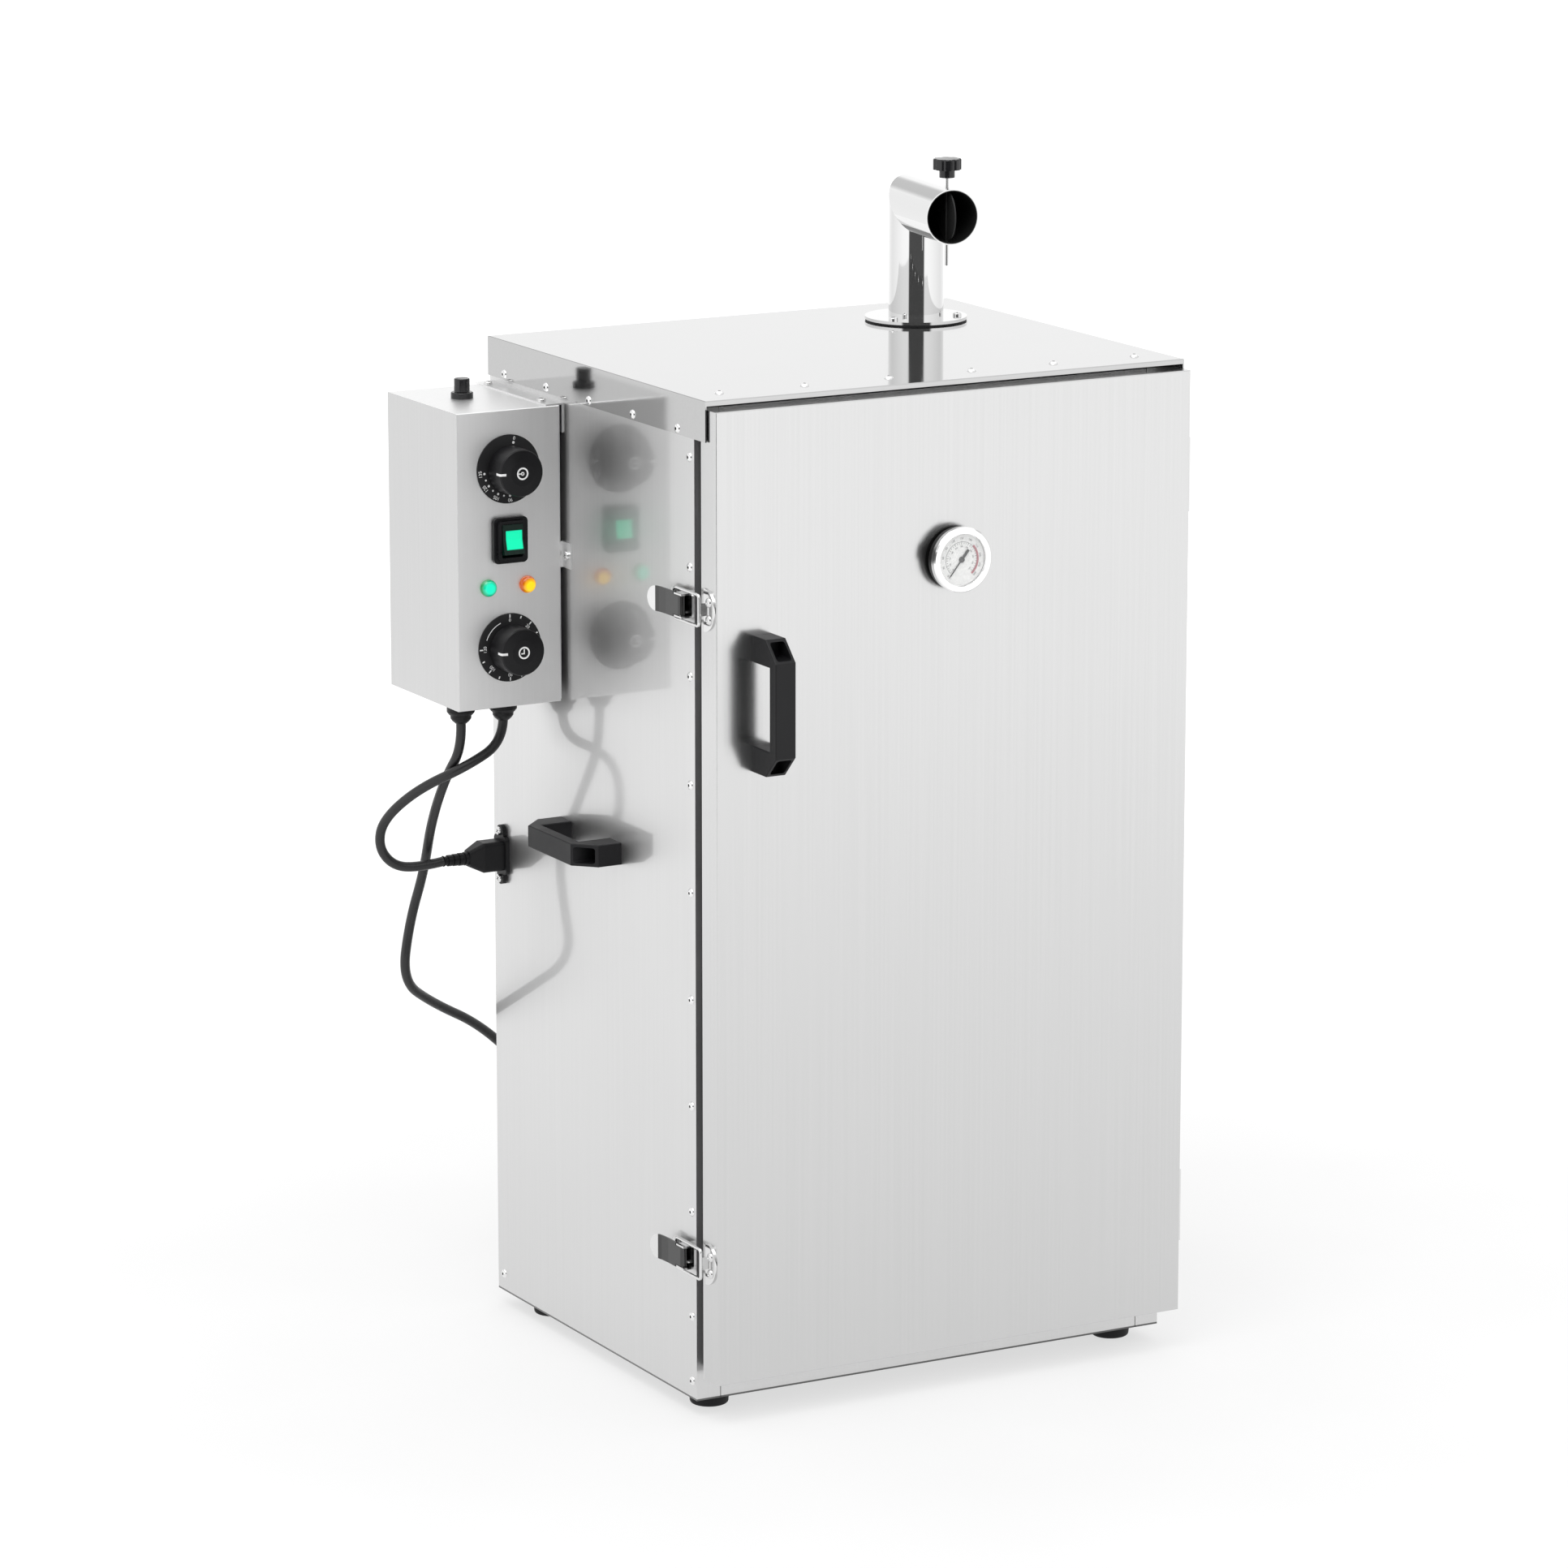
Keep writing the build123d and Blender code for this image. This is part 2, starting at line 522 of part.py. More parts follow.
with BuildPart() as control_box_bracket:
    plate = (BOX_RIGHT, BOX_RIGHT + SKIN)
    block(plate, (BOX_FRONT + 1.5, BOX_BACK - 1.5), (BOX_BOTTOM + 1.5, BOX_TOP))
    block((-LID_SHEET, 0), (222, 350), (745, BOX_TOP + LID_SHEET))
    block((BOX_RIGHT - 11, 0), (222, 350), (BOX_TOP, BOX_TOP + LID_SHEET))
    for y in (284, 322):
        for z in (560, 735):
            block((BOX_RIGHT + SKIN, 0), (y, y + 14), (z, z + 14))
    block((-LID_SHEET, 0), (208, 224), (636, 657))
    block((BOX_RIGHT + SKIN, 0), (222, 224), (636, 657))
    bar(side(BOX_RIGHT - 2), [CAPILLARY], SENSOR_HOLE_R, 12, mode=Mode.SUBTRACT)

screw_places = [on(level(BOX_TOP + LID_SHEET), -11, y) for y in (238, 334)]
screw_places += [on(flipped(side(-LID_SHEET)), 214, -646.5, 20)]
for turn in (-33, 87, 207):
    spot = Vector(FLANGE_SCREW_R, 0).rotate(Axis.Z, turn)
    screw_places += [on(level(FLANGE_TOP), FLUE[0] + spot.X, FLUE[1] + spot.Y, turn)]
INLET_FLANGE = 3.5
INLET_SCREW_PITCH = 40.0
for end in (-0.5, 0.5):
    height = INLET[1] + end * INLET_SCREW_PITCH
    screw_places += [on(flipped(side(-INLET_FLANGE)), INLET[0], -height, 30)]
with BuildPart() as small_screws:
    with Locations(*screw_places):
        add(pan_screw.part)

with BuildPart() as dial_plates:
    bar(facing(BOX_FRONT), dial_spots, DIAL_R, 1.0)
    bar(facing(BOX_FRONT), dial_spots, BUSH_R + 0.3, 1.0, mode=Mode.SUBTRACT)


def control_body(z):
    """The works behind one dial: a body, a bush through the panel and a bore for the spindle."""
    x = DIAL_X
    block((x - 19, x + 19), (BOX_FRONT + SKIN, BOX_FRONT + 28), (z - 19, z + 19))
    bar(facing(BOX_FRONT + SKIN), [(x, z)], BUSH_R, SKIN + 1.4)
    bar(facing(BOX_FRONT + 18), [(x, z)], SPINDLE_R + RUNNING_CLEARANCE, 21, mode=Mode.SUBTRACT)


with BuildPart() as timer_body:
    control_body(TIMER_Z)

with BuildPart() as thermostat_body:
    control_body(THERMOSTAT_Z)
    tube_y, tube_z = CAPILLARY
    with BuildLine() as capillary:
        FilletPolyline(
            at(DIAL_X + 10, BOX_FRONT + 27, tube_z + 8), at(DIAL_X + 10, tube_y, tube_z),
            at(WALL + 9, tube_y, tube_z), radius=12,
        )
    with BuildSketch(Plane(origin=capillary.wires()[0] @ 0, z_dir=capillary.wires()[0] % 0)):
        Circle(SENSOR_R)
    sweep(path=capillary.wires()[0])
    bar(side(WALL + 8), [CAPILLARY], 3.5, 70)

SWITCH_PROUD = 7.0
with BuildPart() as switch_housing:
    rounded_block(facing(BOX_FRONT), SWITCH, (30, 37), 4, 4)
    rounded_block(facing(BOX_FRONT), SWITCH, (25, 32), 3, SWITCH_PROUD)
    rounded_block(facing(BOX_FRONT), SWITCH, SWITCH_CUT, 1, -22)
    rounded_block(facing(BOX_FRONT - 8), SWITCH, (18.6, 27), 1, -20, mode=Mode.SUBTRACT)

ROCKER_TILT = -8.0             # its upper end is pressed in
ROCKER_PIVOT_Y = BOX_FRONT + 1.0
with BuildPart() as rocker:
    tilt = radians(ROCKER_TILT)
    rocker_plane = Plane(
        origin=at(SWITCH[0] - 9, ROCKER_PIVOT_Y, SWITCH[1]),
        x_dir=(0, -cos(tilt), -sin(tilt)), z_dir=(-1, 0, 0),
    )
    outline = [(10.5, 12), (9.2, 0), (10.5, -12), (4, -12.2), (-4, -4), (-4, 4), (4, 12.2)]
    with BuildSketch(rocker_plane):
        with BuildLine():
            Polyline(*outline, close=True)
        make_face()
    extrude(amount=-18)

lamps = []
for x in (GREEN_X, AMBER_X):
    with BuildPart() as lamp:
        bar(facing(BOX_FRONT), [(x, LAMPS_Z)], LAMP_R, 4.5)
        fillet(lamp.faces().sort_by(Axis.Y)[0].edges(), 3.6)
        bar(facing(BOX_FRONT), [(x, LAMPS_Z)], LAMP_BODY_R, -24)
    lamps.append(lamp)
green_lamp, amber_lamp = lamps

FUSE_CAP_GAP = 0.4
with BuildPart() as fuse_holder:
    bar(level(BOX_TOP), [FUSE], 9.0, 5)
    bar(level(BOX_TOP), [FUSE], FUSE_BODY_R, -26)
    bar(level(BOX_TOP + 6), [FUSE], 4 + RUNNING_CLEARANCE, -24, mode=Mode.SUBTRACT)
    fillet(fuse_holder.faces().sort_by(Axis.Z)[-1].outer_wire().edges(), 1)

with BuildPart() as fuse_cap:
    bar(level(BOX_TOP + 5 + FUSE_CAP_GAP), [FUSE], 6.3, 10.6)
    fillet(fuse_cap.edges().group_by(Axis.Z)[-1], 0.8)
    bar(level(BOX_TOP + 5 + FUSE_CAP_GAP), [FUSE], 4, -16)
    slot_x, slot_y = [(middle - half, middle + half) for middle, half in zip(FUSE, (5, 0.7))]
    block(slot_x, slot_y, (BOX_TOP + 14, BOX_TOP + 18), mode=Mode.SUBTRACT)

GLAND_NUT = 8.0
gland_cap = [
    (0, 0), (11.0, 0), (11.4, 0.8), (11.4, 6.5), (9.8, 8.6), (8.7, 9.4), (8.4, 12.0),
    (7.0, 14.0), (4.8, 16), (0, 16),
]
with BuildPart() as cable_glands:
    for x, y in (MAINS_GLAND, HEATER_GLAND):
        with BuildSketch(level(BOX_BOTTOM - GLAND_NUT)):
            with Locations((x, y)):
                RegularPolygon(12.0, 6)
        extrude(amount=GLAND_NUT)
        turned(at(x, y, BOX_BOTTOM - GLAND_NUT), (0, 0, -1), gland_cap)
        bar(level(BOX_BOTTOM), [(x, y)], GLAND_THREAD_R, 9)

# ---- knobs -----------------------------------------------------------------------------------
KNOB_LIFT = 3.5               # panel to the knob's skirt
knob_profile = [
    (0, 0), (18.6, 0), (19.2, 0.8), (19.0, 20), (18.2, 21.2), (10, 22.3), (0, 22.6),
]
knobs = []
for z in (THERMOSTAT_Z, TIMER_Z):
    with BuildPart() as knob:
        turned(at(DIAL_X, BOX_FRONT - KNOB_LIFT, z), (0, -1, 0), knob_profile)
        bar(facing(BOX_FRONT - KNOB_LIFT), [(DIAL_X, z)], SPINDLE_R, -(KNOB_LIFT + 14))
    knobs.append(knob)
thermostat_knob, timer_knob = knobs

# ---- heater inlet and its connector ----------------------------------------------------------
inlet_y, inlet_z = INLET
with BuildPart() as inlet_socket:
    outward = flipped(side(0))
    with BuildSketch(outward):
        with Locations((inlet_y, -inlet_z)):
            RectangleRounded(22, 32, 4)
            SlotOverall(50, 11.5, rotation=90)
    extrude(amount=INLET_FLANGE)
    rounded_block(side(0), INLET, INLET_BODY, 2, 17)
    rounded_block(side(-5), INLET, (16.4, 24.6), 2, 18, mode=Mode.SUBTRACT)
    for offset in (-7, 0, 7):
        block((2, 13.5), (inlet_y - 1, inlet_y + 1), (inlet_z + offset - 2, inlet_z + offset + 2))

CONNECTOR_STRAIGHT = 18.0
CONNECTOR_LENGTH = 30.0
BOOT_LENGTH = 22.0
BOOT_R = 5.6
BOOT_RINGS = 4
boot_start = -INLET_FLANGE - CONNECTOR_LENGTH
boot = [(0, 0), (BOOT_R, 0)]
for ring in range(BOOT_RINGS):
    begin = 5.0 * ring
    radius = BOOT_R - 0.3 * ring
    boot += [(radius, begin + 3.2), (radius - 1.0, begin + 3.2)]
    boot += [(radius - 1.0, begin + 5), (radius - 0.3, begin + 5)]
boot = boot[:-1] + [(4.5, BOOT_LENGTH), (0, BOOT_LENGTH)]
with BuildPart() as heater_connector:
    outward = flipped(side(-INLET_FLANGE))
    connector_middle = (inlet_y, -inlet_z)
    rounded_block(outward, connector_middle, (17, 25), 3, CONNECTOR_STRAIGHT)
    rounded_block(outward, connector_middle, (15.6, 23.8), 2, -5)
    for distance, size in ((CONNECTOR_STRAIGHT, (17, 25)), (CONNECTOR_LENGTH, (11.4, 13.4))):
        with BuildSketch(outward.offset(distance)):
            with Locations(connector_middle):
                RectangleRounded(*size, 3)
    loft()
    turned(at(boot_start, inlet_y, inlet_z), (-1, 0, 0), boot)
BOOT_END = boot_start - BOOT_LENGTH

# ---- free cords ------------------------------------------------------------------------------
GLAND_END = BOX_BOTTOM - GLAND_LENGTH
heater_route = [
    (*HEATER_GLAND, GLAND_END), (-28, 280, 484), (-60, 279, 468), (-90, 310, 446),
    (-109, 337, 417), (-110.5, 343, 393), (-97, 342, 375.5), (-75, 337.5, 373.5),
    (BOOT_END, inlet_y, inlet_z),
]
COIL = (200.0, 424.0)
COIL_R = 44.0
COIL_HALF_WIDTH = 2 * CORD_R
COIL_LAYERS = 3
LEAD_Y = COIL[1] - COIL_R - CORD_R    # where the cord joins the ring, and the plug leaves it
FLOOR_RUN = FLOOR + CORD_R
mains_route = [
    (*MAINS_GLAND, GLAND_END), (-62.5, 284, 482), (-68, 303, 455), (-67, 333, 412),
    (-62, 358, 365), (-71, 368, 321), (-79, 367.5, 271), (-44, 384, 244.5), (6, 393, 217),
    (48, 392, 174), (80, 386, 124), (104, 378, 72), (128, 371, 22),
    (165, LEAD_Y, FLOOR_RUN), (COIL[0] - 2, LEAD_Y, FLOOR_RUN),
]


def cord_tube(route):
    """A round tube along straight runs joined by tangent arcs."""
    points = [Vector(*at(*point)) for point in route]
    runs = [b - a for a, b in zip(points[:-1], points[1:])]
    radii = []
    for before, after in zip(runs[:-1], runs[1:]):
        turn = radians(before.get_angle(after))
        radii.append(0.45 * min(before.length, after.length) / tan(turn / 2))
    with BuildLine() as path:
        FilletPolyline(*points, radius=radii)
    wire = path.wires()[0]
    with BuildSketch(Plane(origin=wire @ 0, z_dir=wire % 0)) as section:
        Circle(CORD_R)
    sweep(section.sketch, path=wire)


with BuildPart() as heater_lead:
    cord_tube(heater_route)
with BuildPart() as mains_cord:
    cord_tube(mains_route)

coil_outer = COIL_R + COIL_HALF_WIDTH
with BuildPart() as mains_coil:
    tube(level(FLOOR), COIL, coil_outer, COIL_R - COIL_HALF_WIDTH, 2 * CORD_R * COIL_LAYERS)

PLUG_R = 18.5
PLUG_BODY = 66.0
PIN_PITCH = 19.0
PIN_R = 2.4
PLUG_START = COIL[0] + sqrt(coil_outer**2 - (COIL[1] - LEAD_Y) ** 2)
plug_z = FLOOR + PLUG_R
plug_profile = [
    (0, 0), (4.6, 0), (5.4, 24), (9.5, 30), (13, 42), (PLUG_R, 52), (PLUG_R, PLUG_BODY), (0, PLUG_BODY),
]
with BuildPart() as mains_plug:
    turned(at(PLUG_START, LEAD_Y, plug_z), (1, 0, 0), plug_profile)
    pins = [(LEAD_Y - PIN_PITCH / 2, plug_z), (LEAD_Y + PIN_PITCH / 2, plug_z)]
    bar(side(PLUG_START + PLUG_BODY), pins, PIN_R, 19)

# ---- door ------------------------------------------------------------------------------------
DOOR_X = (DOOR_SIDE_CLEARANCE, WIDTH - DOOR_SIDE_CLEARANCE)
DOOR_Z = (DOOR_BOTTOM, DOOR_TOP)
INNER_SKIN_Y = (-DOOR_GAP - SKIN, -DOOR_GAP)
PROBE_R = 3.0
with BuildPart() as door_outer_skin:
    tub(DOOR_X, (DOOR_FRONT, INNER_SKIN_Y[0]), DOOR_Z, SKIN, (1, 1))
    fillet(door_outer_skin.faces().sort_by(Axis.Y)[0].outer_wire().edges(), SHEET_BEND)
    bar(facing(0), [THERMOMETER], PROBE_R + 0.2, 40, mode=Mode.SUBTRACT)

with BuildPart() as door_inner_skin:
    block(DOOR_X, INNER_SKIN_Y, DOOR_Z)
    bar(facing(0), [THERMOMETER], PROBE_R + 0.2, 40, mode=Mode.SUBTRACT)

with BuildPart() as door_insulation:
    x, z = [(low + SKIN, high - SKIN) for low, high in (DOOR_X, DOOR_Z)]
    block(x, (DOOR_FRONT + SKIN, INNER_SKIN_Y[0]), z)
    bar(facing(0), [THERMOMETER], PROBE_R + 0.2, 40, mode=Mode.SUBTRACT)

GASKET_X = (6.0, 18.0)
GASKET_Z = (26.0, 794.0)
with BuildPart() as door_gasket:
    middle = (WIDTH / 2, sum(GASKET_Z) / 2)
    outer = (WIDTH - 2 * GASKET_X[0], GASKET_Z[1] - GASKET_Z[0])
    inner = (WIDTH - 2 * GASKET_X[1], outer[1] - 2 * (GASKET_X[1] - GASKET_X[0]))
    depth = DOOR_GAP - MOVING_CLEARANCE
    rounded_block(facing(-DOOR_GAP), middle, outer, 6, -depth)
    rounded_block(facing(-DOOR_GAP), middle, inner, 4, -depth, mode=Mode.SUBTRACT)
    fillet(door_gasket.faces().sort_by(Axis.Y)[-1].edges(), 3)

# ---- thermometer -----------------------------------------------------------------------------
DIAL_LIFT = 11.9
THERMOMETER_R = 26.0
GLASS_R = 20.6
SHAFT_R = 0.75
gauge_x, gauge_z = THERMOMETER
gauge = at(gauge_x, DOOR_FRONT, gauge_z)
with BuildPart() as thermometer_case:
    profile = [
        (0, -54), (PROBE_R, -54), (PROBE_R, 0), (9, 0), (9, 2), (7, 2), (7, 3), (24, 3), (25, 4),
        (25, 10), (THERMOMETER_R, 10), (THERMOMETER_R, 14), (25, 15), (GLASS_R + 0.3, 15), (GLASS_R, 14.6),
        (GLASS_R, DIAL_LIFT), (SHAFT_R + RUNNING_CLEARANCE, DIAL_LIFT),
        (SHAFT_R + RUNNING_CLEARANCE, DIAL_LIFT - 3), (0, DIAL_LIFT - 3),
    ]
    turned(gauge, (0, -1, 0), profile)

with BuildPart() as thermometer_lens:
    bar(facing(DOOR_FRONT - 13.8), [THERMOMETER], GLASS_R, 0.8)

NEEDLE_REST = 231.0           # degrees, with 0 pointing right and 90 up
NEEDLE_Y = DOOR_FRONT - DIAL_LIFT - 0.5
needle_half = [(-9.5, 1.15), (-3, 1.15), (-2, 0.5), (15, 0.35)]
needle_outline = needle_half + [(18, 0)] + [(u, -v) for u, v in reversed(needle_half)]
with BuildPart() as thermometer_needle:
    with BuildSketch(facing(NEEDLE_Y)):
        with Locations(THERMOMETER):
            Circle(2.4)
        with Locations(Location((*THERMOMETER, 0), (0, 0, NEEDLE_REST))):
            Polygon(*needle_outline, align=None)
    extrude(amount=0.6)
    bar(facing(NEEDLE_Y), [THERMOMETER], SHAFT_R, -2.4)

# ---- hinges ----------------------------------------------------------------------------------
KNUCKLE = HINGE_HEIGHT / 3
LEAF_CABINET_X = (WIDTH, WIDTH + HINGE_LEAF)
LEAF_DOOR_X = (DOOR_X[1], DOOR_X[1] + HINGE_LEAF)
with BuildPart() as hinge_cabinet_leaves:
    for middle in HINGE_LEVELS:
        low, high = middle - HINGE_HEIGHT / 2, middle + HINGE_HEIGHT / 2
        block(LEAF_CABINET_X, (HINGE_Y + 3.4, 26), (low, high))
        for start, end in ((low, low + KNUCKLE), (high - KNUCKLE, high)):
            bar(level(start), [(HINGE_X, HINGE_Y)], HINGE_BARREL_R, end - start)
            block(LEAF_CABINET_X, (HINGE_Y, HINGE_Y + 3.4), (start, end))
        bar(level(low), [(HINGE_X, HINGE_Y)], HINGE_PIN_R, HINGE_HEIGHT)

with BuildPart() as hinge_door_leaves:
    for middle in HINGE_LEVELS:
        low, high = middle - HINGE_HEIGHT / 2, middle + HINGE_HEIGHT / 2
        start, end = low + KNUCKLE + MOVING_CLEARANCE, high - KNUCKLE - MOVING_CLEARANCE
        block(LEAF_DOOR_X, (DOOR_FRONT + 1, HINGE_Y - 3.4), (low, high))
        bar(level(start), [(HINGE_X, HINGE_Y)], HINGE_BARREL_R, end - start)
        block(LEAF_DOOR_X, (HINGE_Y - 3.4, HINGE_Y), (start, end))
        hole_r = HINGE_PIN_R + RUNNING_CLEARANCE
        bar(level(start), [(HINGE_X, HINGE_Y)], hole_r, end - start, mode=Mode.SUBTRACT)

# ---- toggle latches --------------------------------------------------------------------------
LATCH_PIN_R = 1.5
EAR_INSIDE = 8.2
LEVER_HALF = 7.8              # between the base's ears
LEVER_WIDE = 10.0             # behind the ears
LEVER_SHOULDER = 17.5         # y where the lever widens
LEVER_TIP = 54.0
PLATE = 1.2
CATCH_R = 17.0
CATCH_EDGE = -15.5
with BuildPart() as latch_bases:
    for z in LATCH_LEVELS.values():
        rounded_block(flipped(side(0)), (19.5, -z), (35, 20), 4, PLATE)
        for ear in (-EAR_INSIDE - 1.4, EAR_INSIDE):
            block((-9.6, 0), (4, 16), (z + ear, z + ear + 1.4))
        bar(level(z - EAR_INSIDE - 1), [LATCH_PIVOT], LATCH_PIN_R, 2 * EAR_INSIDE + 2)

with BuildPart() as latch_catches:
    for z in LATCH_LEVELS.values():
        with BuildSketch(side(DOOR_X[0] - PLATE)):
            with Locations((CATCH_EDGE, z)):
                Circle(CATCH_R)
            with Locations((CATCH_EDGE + CATCH_R, z)):
                Rectangle(2 * CATCH_R, 2 * CATCH_R, mode=Mode.SUBTRACT)
        extrude(amount=PLATE)
        block((-3.8, DOOR_X[0]), (CATCH_EDGE, CATCH_EDGE + PLATE), (z - 5, z + 5))
        rivet_spots = [on(flipped(side(DOOR_X[0] - PLATE)), -23.5, -(z + end)) for end in (-6.8, 6.8)]
        with Locations(*rivet_spots):
            add(rivet.part)

pivot_x, pivot_y = LATCH_PIVOT
bail_x, bail_y = BAIL_PIVOT
levers = {}
bails = {}
for name, z in LATCH_LEVELS.items():
    with BuildPart() as lever:
        bar(level(z - LEVER_HALF), [LATCH_PIVOT], 2.9, 2 * LEVER_HALF)
        tongue = [
            (pivot_x - 1.5, pivot_y), (pivot_x - 2.9, pivot_y), (-9.4, 30), (-10.0, 40),
            (-13, LEVER_TIP), (-11.7, LEVER_TIP), (-8.7, 40), (-8.0, 30),
        ]
        with BuildSketch(level(z - LEVER_WIDE)):
            with BuildLine():
                Polyline(*tongue, close=True)
            make_face()
        extrude(amount=2 * LEVER_WIDE)
        with BuildSketch(side(-20)):
            with Locations((LEVER_TIP - LEVER_WIDE, z)):
                Circle(LEVER_WIDE)
            with Locations(((LEVER_SHOULDER + LEVER_TIP - LEVER_WIDE) / 2, z)):
                Rectangle(LEVER_TIP - LEVER_WIDE - LEVER_SHOULDER, 2 * LEVER_WIDE)
            with Locations((LEVER_SHOULDER - 10, z)):
                Rectangle(20.2, 2 * LEVER_HALF)
        extrude(amount=20, mode=Mode.INTERSECT)
        block((-9, bail_x + 2.2), (bail_y - 2.6, bail_y + 2.6), (z - LEVER_HALF, z + LEVER_HALF))
        for spot, radius in ((LATCH_PIVOT, LATCH_PIN_R), (BAIL_PIVOT, WIRE_R)):
            hole_r = radius + RUNNING_CLEARANCE
            bar(level(z - LEVER_WIDE), [spot], hole_r, 2 * LEVER_WIDE, mode=Mode.SUBTRACT)
    levers[name] = lever
    with BuildPart() as bail:
        top, bottom = z + BAIL_HALF_HEIGHT, z - BAIL_HALF_HEIGHT
        with BuildLine() as loop:
            FilletPolyline(
                at(bail_x, BAIL_BAR_Y, bottom), at(bail_x, bail_y, bottom),
                at(bail_x, bail_y, top), at(bail_x, BAIL_BAR_Y, top), radius=3, close=True,
            )
        wire = loop.wires()[0]
        with BuildSketch(Plane(origin=wire @ 0, z_dir=wire % 0)):
            Circle(WIRE_R)
        sweep(path=wire)
    bails[name] = bail

# ---- write one file for each piece -----------------------------------------------------------
pieces = {
    "left_side_panel": left_side_panel, "right_side_panel": right_side_panel,
    "back_panel": back_panel, "base_pan": base_pan, "lid": lid, "chamber_liner": chamber_liner,
    "wall_insulation": wall_insulation, "rack_rails": rack_rails, "drip_tray": drip_tray,
    "chip_tray": chip_tray, "heating_element": heating_element, "rubber_feet": rubber_feet,
    "cabinet_rivets": cabinet_rivets, "small_screws": small_screws,
    "chimney_pipe": chimney_pipe, "chimney_outlet": chimney_outlet,
    "chimney_gasket": chimney_gasket, "damper": damper,
    "damper_knob": damper_knob, "carry_handle_left": carry_handle_left,
    "carry_handle_right": carry_handle_right, "control_box_shell": control_box_shell,
    "control_box_bracket": control_box_bracket, "dial_plates": dial_plates,
    "thermostat_body": thermostat_body, "timer_body": timer_body,
    "thermostat_knob": thermostat_knob, "timer_knob": timer_knob,
    "switch_housing": switch_housing, "rocker": rocker, "green_lamp": green_lamp,
    "amber_lamp": amber_lamp, "fuse_holder": fuse_holder, "fuse_cap": fuse_cap,
    "cable_glands": cable_glands, "inlet_socket": inlet_socket,
    "heater_connector": heater_connector, "heater_lead": heater_lead, "mains_cord": mains_cord,
    "mains_coil": mains_coil, "mains_plug": mains_plug, "door_outer_skin": door_outer_skin,
    "door_inner_skin": door_inner_skin, "door_insulation": door_insulation,
    "door_gasket": door_gasket, "door_handle": door_handle,
    "thermometer_case": thermometer_case, "thermometer_lens": thermometer_lens,
    "thermometer_needle": thermometer_needle, "hinge_cabinet_leaves": hinge_cabinet_leaves,
    "hinge_door_leaves": hinge_door_leaves, "latch_bases": latch_bases,
    "latch_catches": latch_catches,
}
for number, rack in enumerate(racks, 1):
    pieces[f"rack_{number}"] = rack
for name in LATCH_LEVELS:
    pieces[f"latch_lever_{name}"] = levers[name]
    pieces[f"latch_bail_{name}"] = bails[name]

os.makedirs("parts", exist_ok=True)
for node, piece in pieces.items():
    piece.part.label = node
    export_step(piece.part, f"parts/{node}.step")
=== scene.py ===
from math import cos, pi, radians, sin

import bmesh
import bpy
from mathutils import Matrix, Vector


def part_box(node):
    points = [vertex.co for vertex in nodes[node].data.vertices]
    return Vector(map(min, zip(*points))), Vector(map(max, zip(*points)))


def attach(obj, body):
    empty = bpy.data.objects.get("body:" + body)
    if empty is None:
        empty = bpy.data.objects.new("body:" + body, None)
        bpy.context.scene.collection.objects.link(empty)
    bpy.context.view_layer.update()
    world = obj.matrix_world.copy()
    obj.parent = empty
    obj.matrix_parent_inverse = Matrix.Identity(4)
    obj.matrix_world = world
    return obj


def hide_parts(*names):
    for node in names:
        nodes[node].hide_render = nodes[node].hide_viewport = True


# Looks of the electric cabinet smoker.  Metres, in the part's own frame: x to the
# right, y to the rear, z up from the floor.

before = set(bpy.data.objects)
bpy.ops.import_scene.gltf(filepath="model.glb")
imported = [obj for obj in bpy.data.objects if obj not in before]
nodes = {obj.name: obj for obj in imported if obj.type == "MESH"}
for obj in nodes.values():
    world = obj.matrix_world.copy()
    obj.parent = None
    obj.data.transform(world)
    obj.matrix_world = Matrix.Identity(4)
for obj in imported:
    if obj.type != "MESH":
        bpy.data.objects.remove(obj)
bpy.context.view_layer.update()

# ---- camera ---------------------------------------------------------------------------
CAMERA_PLACE = Vector((-2.55227, -4.59157, 1.64856))
CAMERA_TARGET = Vector((-0.10425, -0.142, 0.50603))
CAMERA_LENS = 152.82          # for a 36 mm sensor

lens = bpy.data.cameras.new("camera")
lens.lens = CAMERA_LENS
lens.sensor_width = 36.0
lens.clip_end = 60.0
camera = bpy.data.objects.new("camera", lens)
camera.location = CAMERA_PLACE
camera.rotation_mode = "QUATERNION"
camera.rotation_quaternion = (CAMERA_TARGET - CAMERA_PLACE).to_track_quat("-Z", "Y")
bpy.context.scene.collection.objects.link(camera)
bpy.context.scene.camera = camera


def link(thing):
    """Puts a new object in the scene and returns it."""
    bpy.context.scene.collection.objects.link(thing)
    return thing


# ---- free cords -------------------------------------------------------------------------
CORD_DIAMETER = 0.008
CORD_R = CORD_DIAMETER / 2

HEATER_ROUTE = [
    (-0.210, 0.138, 0.516), (-0.211, 0.138, 0.497), (-0.243, 0.137, 0.481), (-0.273, 0.168, 0.459),
    (-0.292, 0.195, 0.430), (-0.2935, 0.201, 0.406), (-0.280, 0.200, 0.3885),
    (-0.258, 0.1955, 0.3865), (-0.2385, 0.1935, 0.3895),
]
MAINS_ROUTE = [
    (-0.246, 0.142, 0.516), (-0.2455, 0.142, 0.495), (-0.251, 0.161, 0.468), (-0.250, 0.191, 0.425),
    (-0.245, 0.216, 0.378), (-0.254, 0.226, 0.334), (-0.262, 0.2255, 0.284), (-0.227, 0.242, 0.2575),
    (-0.177, 0.251, 0.230), (-0.135, 0.250, 0.187), (-0.103, 0.244, 0.137), (-0.079, 0.236, 0.085),
    (-0.055, 0.229, 0.035), (-0.018, 0.234, 0.004),
]
COIL_MIDDLE = (0.017, 0.282)
COIL_OUTER = 0.048
COIL_INNER = 0.040
